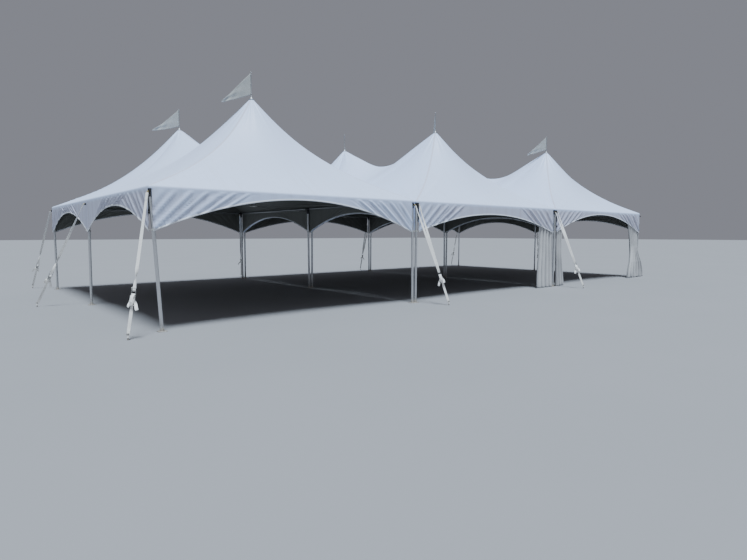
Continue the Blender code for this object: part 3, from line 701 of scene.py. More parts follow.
class Skin:
    """Points, faces and UVs gathered for one mesh."""

    def __init__(self) -> None:
        """Starts empty."""
        self.points: list[Array] = []
        self.faces: list[tuple[int, ...]] = []
        self.uvs: list[Array] = []
        self.count = 0

    def put(self, points: Array, uvs: Array | None = None) -> int:
        """Adds points and returns the number of the first one.

        Args:
            points: The points.
            uvs: Each point's UV coordinates.

        Returns:
            The number of the first new point.
        """
        first = self.count
        points = np.asarray(points, float).reshape(-1, 3)
        self.points.append(points)
        self.uvs.append(np.zeros((len(points), 2)) if uvs is None else np.asarray(uvs, float).reshape(-1, 2))
        self.count += len(points)
        return first

    def face(self, *corners: int) -> None:
        """Adds a face."""
        self.faces.append(corners)

    def sheet(self, grid: Array, uvs: Array) -> None:
        """Adds an open sheet from rows of points.

        Args:
            grid: The points, as rows, columns and coordinates.
            uvs: Each point's UV coordinates.
        """
        rows, size = grid.shape[:2]
        first = self.put(grid, uvs)
        for row in range(rows - 1):
            for step in range(size - 1):
                a = first + row * size + step
                self.face(a, a + size, a + size + 1, a + 1)

    def rings(self, rings: Sequence[Array], uvs: Sequence[Array] | None = None) -> None:
        """Joins rings of equally many points into a body with flat ends.

        Args:
            rings: The rings, in order.
            uvs: Each point's UV coordinates.
        """
        size = len(rings[0])
        first = self.put(np.concatenate(rings), None if uvs is None else np.concatenate(uvs))
        for level in range(len(rings) - 1):
            for step in range(size):
                a = first + level * size + step
                b = first + level * size + (step + 1) % size
                self.face(a, b, b + size, a + size)
        self.face(*range(first + size - 1, first - 1, -1))
        last = first + (len(rings) - 1) * size
        self.face(*range(last, last + size))

    def lathe(self, start: Array, axis: Array, profile: Sequence[Size],
              sides: int = 24) -> None:
        """Turns a profile about an axis.

        Args:
            start: The axis's zero point.
            axis: Its direction.
            profile: Pairs of a radius and a length along the axis.
            sides: How many sides the turned body has.
        """
        axis = unit(np.asarray(axis, float))
        across, up = sides_of(axis)
        turns = np.linspace(0, math.tau, sides, endpoint=False)
        circle = np.cos(turns)[:, None] * across + np.sin(turns)[:, None] * up
        self.rings([start + axis * length + circle * radius for radius, length in profile])

    def stud(self, start: Array, axis: Array, body: Size, tip: Size, sides: int = 6) -> None:
        """Adds a bolt's head or a pin: radius and length up to its chamfer, then at its end."""
        self.lathe(start, axis, ((body[0], 0.0), body, tip), sides)

    def sleeve(self, start: Array, axis: Array, radii: Size, lengths: Triple, sides: int = 16) -> None:
        """Adds a round sleeve with both ends chamfered.

        Args:
            start: The middle of its foot.
            axis: The way it points.
            radii: The radius of its ends, and of its middle.
            lengths: Where the first chamfer ends, where the second begins, and the whole length.
            sides: How many sides it has.
        """
        end, middle = radii
        profile = ((end, 0.0), (middle, lengths[0]), (middle, lengths[1]), (end, lengths[2]))
        self.lathe(start, axis, profile, sides)

    def slab(self, centre: Array, axes: Sequence[Array], sizes: Sequence[float],
             bevel: float = 0.002) -> None:
        """Adds a flat bar with chamfered edges.

        Args:
            centre: Its middle.
            axes: Its length, width and thickness directions, each of length 1.
            sizes: Its length, width and thickness.
            bevel: The chamfer.
        """
        length, width, thick = (size / 2 for size in sizes)
        along, across, up = axes
        outline = []
        for sa, sb in ((-1, -1), (1, -1), (1, 1), (-1, 1)):
            corner = [(sa * (length - bevel), sb * width), (sa * length, sb * (width - bevel))]
            outline += corner if sa * sb > 0 else corner[::-1]
        rings = []
        for height, shrink in ((-thick, bevel), (-thick + bevel, 0.0), (thick - bevel, 0.0), (thick, bevel)):
            fit_a, fit_b = 1 - shrink / length, 1 - shrink / width
            rings.append(np.array([centre + along * (a * fit_a) + across * (b * fit_b) + up * height
                                   for a, b in outline]))
        self.rings(rings)

    def ring(self, centre: Array, axis: Array, radius: float, wire: float) -> None:
        """Adds a wire ring round an axis.

        Args:
            centre: Its middle.
            axis: The axis that it goes round.
            radius: Its radius.
            wire: Its wire's radius.
        """
        first, second = sides_of(axis)
        steps, sides = 28, 8
        rounds = np.linspace(0, math.tau, sides, endpoint=False)
        start = self.count
        for turn in np.linspace(0, math.tau, steps, endpoint=False):
            out = math.cos(turn) * first + math.sin(turn) * second
            level = centre + out * (radius + wire * np.cos(rounds))[:, None]
            self.put(level + axis * (wire * np.sin(rounds))[:, None])
        for a in range(steps):
            for b in range(sides):
                here, there = start + a * sides, start + (a + 1) % steps * sides
                self.face(here + b, there + b, there + (b + 1) % sides, here + (b + 1) % sides)

    def ribbon(self, path: Array, across: Array, width: Array | float,
               thick: Array | float) -> None:
        """Sweeps flat webbing along a path.

        Args:
            path: The points of its middle line.
            across: Its width direction at each point.
            width: Its width, for all points or for each.
            thick: Its thickness, for all points or for each.
        """
        path = np.asarray(path, float)
        across = np.broadcast_to(across, path.shape)
        width = np.broadcast_to(width, len(path))
        thick = np.broadcast_to(thick, len(path))
        along = np.gradient(path, axis=0)
        lengths = np.concatenate([[0.0], np.cumsum(np.linalg.norm(np.diff(path, axis=0), axis=1))])
        rings, uvs = [], []
        section = ((-1, -1), (-0.34, -1), (0.34, -1), (1, -1), (1, 1), (0.34, 1), (-0.34, 1), (-1, 1))
        for point, way, side, wide, deep, length in zip(path, along, across, width, thick, lengths):
            face = unit(np.cross(way, side))
            side = unit(np.cross(face, way))
            rings.append(np.array([point + side * (wide / 2 * a) + face * (deep / 2 * b)
                                   for a, b in section]))
            uvs.append(np.array([(wide / 2 * a, length) for a, _ in section]))
        self.rings(rings, uvs)

    def mesh(self, name: str, closed: bool = True) -> Mesh:
        """Makes the mesh.

        Args:
            name: Its name.
            closed: Whether it is made of closed bodies, whose faces are then turned outwards.

        Returns:
            The mesh, with its UV map "cut".
        """
        mesh = bpy.data.meshes.new(name)
        mesh.from_pydata(np.concatenate(self.points).tolist(), [], self.faces)
        corners = np.empty(len(mesh.loops), np.int32)
        mesh.loops.foreach_get("vertex_index", corners)
        layer = mesh.uv_layers.new(name="cut")
        layer.data.foreach_set("uv", np.concatenate(self.uvs)[corners].astype(np.float32).ravel())
        if closed:
            with edited(mesh) as work:
                bmesh.ops.recalc_face_normals(work, faces=work.faces)
        return mesh


def make_object(name: str, mesh: Mesh, materials: Sequence[Material],
                sharp_angle: float = 40.0) -> Object:
    """Puts a mesh in the scene.

    Args:
        name: The piece's name.
        mesh: Its mesh.
        materials: Its finishes, in the order of the faces' material numbers.
        sharp_angle: The angle in degrees past which an edge stays sharp.

    Returns:
        The object.
    """
    mesh.name = name
    mesh.materials.clear()
    for material in materials:
        mesh.materials.append(material)
    mesh.shade_smooth()
    mesh.set_sharp_from_angle(angle=math.radians(sharp_angle))
    item = bpy.data.objects.new(name, mesh)
    bpy.context.scene.collection.objects.link(item)
    return item


def hand_over(item: Object, slot: Slot, replaced: Sequence[str] = ()) -> None:
    """Args:
        item: The piece.
        slot: Not used.
        replaced: The CAD nodes that it stands for.
    """
    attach(item, BODY)
    if replaced:
        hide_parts(*replaced)
    LOG.info("%s: %d faces, replaces %s", item.name, len(item.data.polygons), list(replaced) or "nothing")


def add_piece(name: str, mesh: Mesh, finish: Material, slot: Slot, replaced: Sequence[str] = (),
              sharp_angle: float = 40.0) -> Object:
    """Puts a piece of one finish in the scene and hands it over.

    Args:
        name: The piece's name.
        mesh: Its mesh.
        finish: Its finish.
        slot: The record's material slot, passed on to hand_over.
        replaced: The CAD nodes that it stands for.
        sharp_angle: The angle in degrees past which an edge stays sharp.

    Returns:
        The object.
    """
    item = make_object(name, mesh, (finish,), sharp_angle)
    hand_over(item, slot, replaced)
    return item


def baked(item: Object) -> Mesh:
    """Returns the object's mesh with its modifiers applied."""
    bpy.context.view_layer.update()
    graph = bpy.context.evaluated_depsgraph_get()
    return bpy.data.meshes.new_from_object(item.evaluated_get(graph))


def thicken(item: Object, thickness: float, offset: float = 0.0, inner_finish: int = 0) -> None:
    """Turns a sheet into a plain closed mesh.

    Args:
        item: The sheet.
        thickness: Its thickness.
        offset: -1 to add it all inside, 0 to share it between the two sides.
        inner_finish: How many finishes further on the inside takes its own.
    """
    shell = item.modifiers.new("Thickness", "SOLIDIFY")
    shell.thickness = thickness
    shell.offset = offset
    shell.material_offset = inner_finish
    made = baked(item)
    item.modifiers.clear()
    item.data = made


def store(mesh: Mesh, name: str, values: Array) -> None:
    """Writes a number to each of a mesh's points."""
    values = np.asarray(values, np.float32).ravel()
    mesh.attributes.new(name, "FLOAT", "POINT").data.foreach_set("value", values)


class Recipe(Graph):
    """A Geometry Nodes tree with named inputs, applied to a mesh and turned into a plain one."""

    def __init__(self, name: str, inputs: Mapping[str, str]) -> None:
        """Makes the tree's interface.

        Args:
            name: The tree's name.
            inputs: The socket type of each named input.
        """
        super().__init__(bpy.data.node_groups.new(name, "GeometryNodeTree"))
        face = self.tree.interface
        face.new_socket("Geometry", in_out="INPUT", socket_type="NodeSocketGeometry")
        self.keys = {label: face.new_socket(label, in_out="INPUT", socket_type=kind).identifier
                     for label, kind in inputs.items()}
        face.new_socket("Geometry", in_out="OUTPUT", socket_type="NodeSocketGeometry")
        self.source = self.add("NodeGroupInput", output="Geometry")

    def given(self, label: str) -> Wire:
        """Returns a named input."""
        return self.source.output(label)

    def close(self, geometry: Wire) -> None:
        """Ends the tree: instances made real, then the material set.

        Args:
            geometry: The finished geometry.
        """
        real = self.add("GeometryNodeRealizeInstances", None, {0: geometry})
        values = {"Geometry": real, "Material": self.given("Material")}
        done = self.add("GeometryNodeSetMaterial", None, values)
        node = self.tree.nodes.new("NodeGroupOutput")
        self.tree.links.new(done.socket, node.inputs[0])

    def carried(self, name: str) -> Wire:
        """Returns a number that the points carry."""
        return self.add("GeometryNodeInputNamedAttribute", {"data_type": "FLOAT"}, {"Name": name})

    def run(self, mesh: Mesh, values: Mapping[str, object]) -> Mesh:
        """Applies the tree to a mesh.

        Args:
            mesh: What the tree starts from.
            values: The named inputs' values.

        Returns:
            The plain mesh that comes out.
        """
        item = bpy.data.objects.new("recipe_base", mesh)
        bpy.context.scene.collection.objects.link(item)
        modifier = item.modifiers.new("Recipe", "NODES")
        modifier.node_group = self.tree
        for label, value in values.items():
            modifier[self.keys[label]] = value
        result = baked(item)
        item.modifiers.remove(modifier)
        bpy.data.objects.remove(item, do_unlink=True)
        return result


class Sweep(Recipe):
    """Sweeps a round section along every line of a mesh, with the radius that each point carries."""

    def __init__(self) -> None:
        """Builds the tree."""
        super().__init__("round_sweep", {"Sides": "NodeSocketInt", "Material": "NodeSocketMaterial"})
        curve = self.add("GeometryNodeMeshToCurve", None, {"Mesh": self.source})
        radius = self.carried("radius")
        curve = self.add("GeometryNodeSetCurveRadius", None, {"Curve": curve, "Radius": radius})
        curve = self.keep(curve, "along", self.add("GeometryNodeSplineParameter", output="Length"))
        circle = self.add("GeometryNodeCurvePrimitiveCircle", {"mode": "RADIUS"},
                          {"Resolution": self.given("Sides"), "Radius": 1.0})
        circle = self.keep(circle, "around", self.add("GeometryNodeSplineParameter", output="Factor"))
        values = {"Curve": curve, "Profile Curve": circle, "Fill Caps": True}
        tube = self.add("GeometryNodeCurveToMesh", None, values)
        if "Scale" in tube.socket.node.inputs:
            self.tree.links.new(radius.socket, tube.socket.node.inputs["Scale"])
        self.close(tube)

    def keep(self, geometry: Wire, name: str, value: Wire) -> Wire:
        """Stores a number on the points of a curve."""
        settings = {"data_type": "FLOAT", "domain": "POINT"}
        values = {"Geometry": geometry, "Name": name, "Value": value}
        return self.add("GeometryNodeStoreNamedAttribute", settings, values)

    def tubes(self, paths: Sequence[tuple[Array, float]], material: Material,
              sides: int = 20) -> Mesh:
        """Returns one mesh of round tubes.

        Args:
            paths: Each line's points and its radius.
            material: The finish.
            sides: How many sides each tube has.
        """
        points, edges, radii = [], [], []
        for path, radius in paths:
            first = len(points)
            points += [tuple(point) for point in path]
            edges += [(first + step, first + step + 1) for step in range(len(path) - 1)]
            radii += [radius] * len(path)
        mesh = bpy.data.meshes.new("lines")
        mesh.from_pydata(points, edges, [])
        store(mesh, "radius", radii)
        return self.run(mesh, {"Sides": sides, "Material": material})


class Scatter(Recipe):
    """Puts a copy of a small part at each point of a mesh, turned about +Z by the angle it carries."""

    def __init__(self) -> None:
        """Builds the tree."""
        super().__init__("repeated_part", {"Part": "NodeSocketObject", "Material": "NodeSocketMaterial"})
        part = self.add("GeometryNodeObjectInfo", {"transform_space": "ORIGINAL"},
                        {"Object": self.given("Part")}, "Geometry")
        turn = self.vector(0.0, 0.0, self.carried("heading"))
        values = {"Points": self.source, "Instance": part, "Rotation": turn}
        self.close(self.add("GeometryNodeInstanceOnPoints", None, values))

    def copies(self, part: Mesh, places: Sequence[tuple[Array, float]],
               material: Material) -> Mesh:
        """Returns one mesh of all the copies.

        Args:
            part: The small part, around the origin.
            places: Each copy's place and its turn about +Z.
            material: The finish.
        """
        sample = bpy.data.objects.new("sample_part", part)
        bpy.context.scene.collection.objects.link(sample)
        mesh = bpy.data.meshes.new("places")
        mesh.from_pydata([tuple(place) for place, _ in places], [], [])
        store(mesh, "heading", [turn for _, turn in places])
        result = self.run(mesh, {"Part": sample, "Material": material})
        bpy.data.objects.remove(sample, do_unlink=True)
        return result


@dataclass(frozen=True)
class Arch:
    """One arched valance between its two feet, which lie at two places along their eave."""

    low: float
    high: float
    crown: float
    drop: float
    fold: float
    low_joined: bool = False
    high_joined: bool = False
    fold_inward: float = 0.008
    fine_reach: float = 1.82
    fine_step: float = 0.036
    middle_step: float = 0.085
    fan_depth: float = 1.85
    fan_back: float = 1.2
    joined_fan_depth: float = 0.82
    joined_limit: float = 0.75

    def hem(self, place: Array) -> Array:
        """Returns how far below the eave the hem lies."""
        share = (2 * place - self.low - self.high) / (self.high - self.low)
        return self.crown + (self.drop - self.crown) * share ** 2

    def stations(self) -> Array:
        """Returns the places of the cloth's columns, closer together near the feet, where it folds.

        Returns:
            The places along the eave.
        """
        fine = np.arange(0.0, self.fine_reach, self.fine_step)
        inner = self.high - self.low - 2 * fine[-1]
        count = max(3, round(inner / self.middle_step))
        middle = np.linspace(self.low + fine[-1], self.high - fine[-1], count)[1:-1]
        return np.concatenate([self.low + fine, middle, (self.high - fine)[::-1]])

    def folds(self, place: Array, depth: Array, random: np.random.Generator) -> Array:
        """Returns how far the valance stands out, with slanting folds that rise from its feet to the eave.

        Args:
            place: Where along the eave each point lies.
            depth: How far below the eave it lies.
            random: The source of this arch's own folds.

        Returns:
            The offset of each point.
        """
        hem = self.hem(place)
        total = np.zeros_like(depth)
        curl = np.zeros_like(depth)
        for foot, sign, joined in ((self.low, 1, self.low_joined), (self.high, -1, self.high_joined)):
            away = np.maximum(sign * (place - foot), 0.0)
            waves = [(spacing * random.uniform(0.9, 1.1), random.uniform(0, 1), weight)
                     for spacing, weight in FOLD_WAVES]
            # Each fold rises on one line, which leans away from the foot or, over a shared leg, towards it.
            if joined:
                fan = self.joined_fan_depth
                line = away * fan / (fan - np.minimum(depth, self.joined_limit))
                total += (0.85 * ridges(line, waves) * smooth(line, 1.4, 1.8)
                          * (1 - smooth(line, 3.3, 3.9)))
                total *= smooth(away, 0.0, 0.10)
            else:
                fan = self.fan_depth
                line = (away + self.fan_back) * fan / (fan - depth) - self.fan_back
                strength = 0.6 if self.high_joined or self.low_joined else 1.0
                total += (strength * ridges(line, waves) * smooth(line, 0.10, 0.35)
                          * (1 - smooth(line, 1.5, 2.1)))
                curl += (0.012 * np.exp(-away / 0.06) * (depth / self.drop) ** 1.5
                         + 0.010 * np.exp(-away / 0.02))
        ripple = (np.sin(place * 17 + random.uniform(0, 6)) * 0.5
                  + np.sin(place * 29 + random.uniform(0, 6)) * 0.3)
        for foot, joined in ((self.low, self.low_joined), (self.high, self.high_joined)):
            if joined:
                ripple = ripple * smooth(np.abs(place - foot), 0.0, 0.10)
        hold = 1 - np.exp(-np.maximum(depth - 0.03, 0.0) / 0.05)
        loose = 0.55 + 0.45 * smooth(hem - depth, 0.0, 0.07)
        value = self.fold * (total * loose + 0.12 * ripple) + curl
        limited = np.where(value > 0, self.fold * np.tanh(value / self.fold),
                           self.fold_inward * np.tanh(value / self.fold_inward))
        return hold * limited

    def crease(self, offset: Array) -> Array:
        """Returns how deep in a fold each point lies, from 0 on a crest to 1 in a valley."""
        return smooth(-offset, -0.25 * self.fold_inward, self.fold_inward)


@dataclass
class Cloth:
    """The columns of cloth round one peak, seen from the peak with the outer eave towards -Y."""

    edges: Array
    facing: Array
    place: Array
    eave: Array
    in_arch: Array
    on_ridge: Array


@dataclass
class TentPart:
    """A sub-assembly that belongs to one tent."""

    plan: Plan
    column: int

    @property
    def name(self) -> str:
        """Which tent it is, in words."""
        return BAY_NAMES[self.column]

    @property
    def centre(self) -> Array:
        """The point on the ground under the tent's middle."""
        return self.plan.canopy_centre(self.column)


@dataclass
class PeakPart:
    """A sub-assembly that belongs to one peak."""

    plan: Plan
    column: int
    row: int

    @property
    def name(self) -> str:
        """Which peak it is, in words."""
        return f"{DEPTH_NAMES[self.row]}_{BAY_NAMES[self.column]}"

    @property
    def ground(self) -> Array:
        """The point on the ground under the peak."""
        return self.plan.peak_point(self.column, self.row)


@dataclass
class GridPart:
    """A sub-assembly that belongs to one point of the legs' grid."""

    plan: Plan
    column: int
    row: int

    @property
    def name(self) -> str:
        """Which point it is, in words."""
        return f"{ROW_NAMES[self.row]}_{COLUMN_NAMES[self.column]}"

    @property
    def ground(self) -> Array:
        """The point on the ground."""
        return self.plan.grid_point(self.column, self.row)


@dataclass
class Canopy(TentPart):
    """One sewn tent top: a roof over two peaks, rounded over the eave tubes, with six arched valances."""

    thickness: float = 0.003
    tip_radius: float = 0.045
    tip_hole_share: float = 0.69
    hip_hollow: float = 0.92
    hip_ease: float = 0.48
    eave_round: float = 0.034
    eave_in: float = 0.026
    corner_round: float = 0.030
    band: float = 0.050
    slit: float = 0.045
    lug_slit: float = 0.080
    slot_low: float = 0.170
    drop: float = 0.750
    long_crown: float = 0.130
    deep_crown: float = 0.270
    short_crown: float = 0.243
    outer_fold: float = 0.042
    inner_fold: float = 0.020
    wrinkle_height: float = 0.014
    slot_half: float = 0.035
    roof_rings: int = 30
    valance_rows: int = 16
    corner_steps: int = 6
    ridge_columns: int = 70
    weld_reach: float = 0.00002
    cut_area: float = 73.0

    def arches(self) -> dict[Eave, Arch]:
        """Returns the three arches round a peak.

        Returns:
            Each arch, by its eave.
        """
        last = self.plan.columns - 1
        left = (self.slit if self.column == 0 else self.lug_slit) - self.plan.half_x
        right = self.plan.half_x - (self.slit if self.column == last else self.lug_slit)
        near, far = self.slit - self.plan.peak_reach, self.plan.peak_place
        left_fold = self.outer_fold if self.column == 0 else self.inner_fold
        right_fold = self.outer_fold if self.column == last else self.inner_fold
        crown = self.deep_crown if self.column == 1 else self.long_crown
        return {
            Eave.LEFT: Arch(-far, -near, self.short_crown, self.drop, left_fold, low_joined=True),
            Eave.OUTER: Arch(left, right, crown, self.drop, self.outer_fold),
            Eave.RIGHT: Arch(near, far, self.short_crown, self.drop, right_fold, high_joined=True),
        }

    def cloth(self) -> Cloth:
        """Returns the columns: left, outer and right eave, joined round the corners, then the mid line.

        Returns:
            The columns.
        """
        plan, inner = self.plan, self.corner_round
        edges, facing, place, eaves, in_arch = [], [], [], [], []
        arches = self.arches()

        def column(edge: Array, out: Array, where: float, number: int, arch: bool) -> None:
            """Adds one column.

            Args:
                edge: Where it ends, seen from the peak.
                out: The way it faces.
                where: Its place along the eave.
                number: Its eave's number.
                arch: Whether a valance hangs from it.
            """
            edges.append(edge)
            facing.append(out)
            place.append(where)
            eaves.append(number)
            in_arch.append(arch)

        for number, eave in enumerate(Eave):
            along, outward = (np.array(way) for way in eave.value)
            length, distance = plan.peak_reach, plan.half_x
            if eave is Eave.OUTER:
                length, distance = distance, length
            if eave is not Eave.LEFT:
                column(along * (inner - length) + outward * distance, outward, inner - length, number, False)
            for where in arches[eave].stations():
                column(along * where + outward * distance, outward, where, number, True)
            if eave is Eave.RIGHT:
                continue
            column(along * (length - inner) + outward * distance, outward, length - inner, number, False)
            middle = along * (length - inner) + outward * (distance - inner)
            for step in range(1, self.corner_steps):
                turn = step / self.corner_steps * math.pi / 2
                way = outward * math.cos(turn) + along * math.sin(turn)
                column(middle + way * inner, way, length - inner + 0.01 * step, number, False)
        reach = plan.half_x - self.eave_in
        for x in np.linspace(reach, -reach, self.ridge_columns + 2)[1:-1]:
            column(np.array((x, plan.peak_place)), np.array((0.0, 0.0)), plan.peak_place, len(Eave), False)
        ridge = np.array(eaves) == len(Eave)
        return Cloth(*(np.array(values) for values in (edges, facing, place, eaves, in_arch)), ridge)

    def profile(self, cloth: Cloth, share: Array) -> Array:
        """Returns the roof's height without wrinkles, at a share of the way from the tip to the edge.

        The columns that end on the mid line arrive there level from front to back, so that both halves of
        the canopy run on smoothly into each other.

        Args:
            cloth: The columns.
            share: Each point's share of the way.

        Returns:
            The height of each point.
        """
        plan = self.plan
        rise = plan.ridge - plan.eave
        bow = 1 - (1 - self.hip_hollow + self.hip_ease) * (plan.peak - plan.eave) / rise
        across = np.where(cloth.on_ridge, np.abs(cloth.edges[:, 0]) / plan.half_x, 1.0)[:, None]
        end = plan.eave + np.where(cloth.on_ridge[:, None], rise * (1 - across) * (1 - bow * across), 0.0)
        slope = rise * across * (1 + bow - 2 * bow * across) / (plan.peak - end)
        ease = self.hip_ease * across
        hollow = np.where(cloth.on_ridge[:, None], 1 + ease - slope, self.hip_hollow)
        return end + (plan.peak - end) * (1 - share) * (1 - hollow * share + ease * share ** 2)

    def roof(self, cloth: Cloth, facing: int) -> Array:
        """Returns the roof's points over one peak, with wrinkles that fan out of the corners.

        Args:
            cloth: The columns.
            facing: -1 for the front peak and 1 for the back one.

        Returns:
            The points from the canopy's centre, as columns, rings and coordinates.
        """
        plan = self.plan
        ends = cloth.edges - cloth.facing * self.eave_in
        length = np.linalg.norm(ends, axis=1)[:, None]
        stop = np.maximum(np.abs(ends[:, 0]) / plan.half_x, -ends[:, 1] / plan.peak_reach)
        stop = np.where(cloth.on_ridge, 1.0, stop)[:, None]
        way = (np.arange(self.roof_rings) / (self.roof_rings - 1)) ** 1.3 + np.zeros_like(length)
        swell = 1 + (1 - way) ** 2 * (math.hypot(plan.half_x, plan.peak_reach) / length - 1)
        reach = self.tip_radius * (1 - way) + length * way * swell
        local = (ends / length)[:, None, :] * reach[..., None]
        height = self.profile(cloth, way * stop)
        x, y = local[..., 0], facing * (plan.peak_place - local[..., 1])
        height += self.wrinkles(x, y, np.arctan2(local[..., 1], local[..., 0]), way)
        return np.stack([x, y, height], axis=-1)

    def wrinkles(self, x: Array, y: Array, turn: Array, way: Array) -> Array:
        """Returns how far wrinkles lift the roof, the same from whichever peak a place is seen.

        Args:
            x: How far right of the canopy's centre each point lies.
            y: How far behind it each point lies.
            turn: The direction of each point from its peak, in radians.
            way: Each point's share of the way from the tip to the edge.

        Returns:
            The lift of each point.
        """
        plan = self.plan
        random = np.random.default_rng(100 + 10 * self.column)
        hold = smooth(np.minimum(plan.half_x - np.abs(x), plan.half_y - np.abs(y)), 0.026, 0.20)
        height = np.zeros_like(x)
        for sx in (-1, 1):
            for end in (-1, 0, 1):
                dx, dy = sx * (sx * plan.half_x - x), end * plan.half_y - y
                distance = np.hypot(dx, dy)
                angle = np.arctan2(dy, dx)
                waves = [(spacing, random.uniform(0, 1), weight) for spacing, weight in WRINKLE_WAVES]
                size = self.wrinkle_height * (1.0 if end else 0.55)
                far = 1 - smooth(distance, 0.9, 3.2)
                height += size * ridges(angle, waves) * hold * smooth(distance, 0.08, 0.45) * far
        slack = np.sin(1.9 * x + random.uniform(0, 6)) * np.sin(2.3 * y + random.uniform(0, 6))
        height += 0.010 * slack * hold * smooth(way, 0.05, 0.3)
        pleats = np.sin(16 * turn + random.uniform(0, 6)) + 0.6 * np.sin(25 * turn + random.uniform(0, 6))
        return height + 0.006 * pleats * smooth(way, 0.0, 0.03) * (1 - smooth(way, 0.05, 0.30))

    def valances(self, cloth: Cloth, eave: Array, out: Array,
                 facing: int) -> tuple[Array, Array, Array, Array]:
        """Returns the valances below the band: points, depths, distances from the hem and creases.

        Args:
            cloth: The columns.
            eave: Each column's point on the eave.
            out: The way each column faces.
            facing: -1 for the front peak and 1 for the back one.

        Returns:
            Four arrays of columns and rows.
        """
        rises, aways = np.array(HEM_ROWS).T
        count = self.valance_rows + len(rises)
        points = np.repeat(eave[:, None], count, axis=1)
        depths = np.zeros((len(eave), count))
        gaps = np.full((len(eave), count), NOWHERE)
        creases = np.zeros((len(eave), count))
        for number, arch in enumerate(self.arches().values()):
            chosen = cloth.in_arch & (cloth.eave == number)
            place = cloth.place[chosen][:, None]
            hem = arch.hem(place)
            even = np.arange(1, self.valance_rows + 1) / self.valance_rows
            main = self.band + (hem - rises[0] - 0.004 - self.band) * even
            depth = np.concatenate([main, hem - rises], axis=1)
            random = np.random.default_rng(1000 + 100 * self.column + 10 * number + facing)
            offset = arch.folds(np.repeat(place, count, axis=1), depth, random)
            offset[:, -len(rises):] += aways
            points[chosen] = (eave[chosen][:, None] - UP * depth[..., None]
                              + out[chosen][:, None] * offset[..., None])
            depths[chosen] = depth
            gaps[chosen] = hem - depth
            creases[chosen] = arch.crease(offset) * smooth(depth, self.band, self.band + 0.10)
        return points, depths, gaps, creases

    def add_half(self, skin: Skin, cloth: Cloth, facing: int) -> tuple[Array, Array, Array]:
        """Adds the cloth round one peak.

        Args:
            skin: The mesh under way.
            cloth: The columns.
            facing: -1 for the front peak and 1 for the back one.

        Returns:
            Each added point's distance from the nearest hip or ridge seam and from the hem, and its crease.
        """
        plan = self.plan
        count = len(cloth.edges)
        roof = self.roof(cloth, facing)
        eave = np.stack([cloth.edges[:, 0], facing * (plan.peak_place - cloth.edges[:, 1]),
                         np.full(count, plan.eave)], axis=-1)
        out = np.stack([cloth.facing[:, 0], -facing * cloth.facing[:, 1], np.zeros(count)], axis=-1)
        below = eave - UP * self.eave_round
        steps = np.linspace(0, 1, 7)[1:, None, None]
        rounded = (1 - steps) ** 2 * roof[:, -1] + 2 * steps * (1 - steps) * eave + steps ** 2 * below
        band = eave - UP * self.band
        tip = np.array((0.0, facing * plan.peak_place))
        ring = tip + (roof[:, 0, :2] - tip) * self.tip_hole_share
        crown = np.concatenate([ring, np.full((count, 1), plan.peak)], axis=1)
        top = np.concatenate([crown[:, None], roof, rounded.transpose(1, 0, 2), band[:, None]], axis=1)
        hanging, depths, gaps, creases = self.valances(cloth, eave, out, facing)
        points = np.concatenate([top, hanging], axis=1)
        total, whole = points.shape[1], top.shape[1]
        sideways = (cloth.eave != 1)[:, None]
        across = np.where(sideways, eave[:, 1:2], eave[:, 0:1]) + np.zeros((count, total))
        across[:, 1:self.roof_rings + 1] = np.where(sideways, roof[..., 1], roof[..., 0])
        down = np.zeros((count, total))
        parts = np.linalg.norm(np.diff(top, axis=1, prepend=top[:, :1]), axis=-1)
        down[:, :whole] = np.cumsum(parts, axis=1)
        last_roof = np.where(cloth.on_ridge, self.roof_rings, whole - 1)
        down -= down[np.arange(count), last_roof][:, None]
        down[:, whole:] = depths
        x, y = np.abs(points[..., 0]), np.abs(points[..., 1]) - plan.peak_place
        hip = np.abs(x * plan.peak_reach - y * plan.half_x) / math.hypot(plan.half_x, plan.peak_reach)
        seam = np.where(y > -0.02, hip, x)
        seam[:, self.roof_rings + 3:] = NOWHERE
        keep = np.ones((count, total), bool)
        keep[:, whole:] = cloth.in_arch[:, None]
        keep[cloth.on_ridge, self.roof_rings + 1:] = False
        numbers = np.cumsum(keep.ravel()).reshape(keep.shape) - 1
        start = skin.put(points[keep] + self.centre, np.stack([across, down], -1)[keep])
        lengths = keep.sum(axis=1)
        slot = np.abs(eave[:, 1]) < self.slot_half
        for index in range(count):
            after = (index + 1) % count
            for row in range(min(lengths[index], lengths[after]) - 1):
                below_top = row >= whole - 1 and depths[index, row + 1 - whole] < self.slot_low
                if slot[index] and slot[after] and below_top:
                    continue
                corners = [numbers[place] for place in ((index, row), (index, row + 1),
                                                        (after, row + 1), (after, row))]
                skin.face(*(start + corner for corner in (corners if facing < 0 else corners[::-1])))
        hem = np.concatenate([np.full((count, whole), NOWHERE), gaps], axis=1)
        crease = np.concatenate([np.zeros((count, whole)), creases], axis=1)
        return seam[keep], hem[keep], crease[keep]

    def build(self, wardrobe: Wardrobe) -> None:
        """Builds the canopy's cloth.

        Args:
            wardrobe: The finishes.
        """
        cloth = self.cloth()
        skin = Skin()
        halves = [self.add_half(skin, cloth, facing) for facing in (-1, 1)]
        mesh = skin.mesh("canopy", closed=False)
        for label, values in zip(("hip", "hem", "crease"), zip(*halves)):
            store(mesh, label, np.concatenate(values))
        with edited(mesh) as work:
            bmesh.ops.remove_doubles(work, verts=work.verts, dist=self.weld_reach)
        item = make_object(f"tent_top_{self.name}", mesh, (wardrobe.roof, wardrobe.grey_lining_and_shade), 70)
        thicken(item, self.thickness, -1.0, 1)
        hand_over(item, Slot.FABRIC, [f"canopy_{self.name}"])
        flat = (2 * self.plan.half_x + 2 * self.drop, 2 * self.plan.half_y + 2 * self.drop)


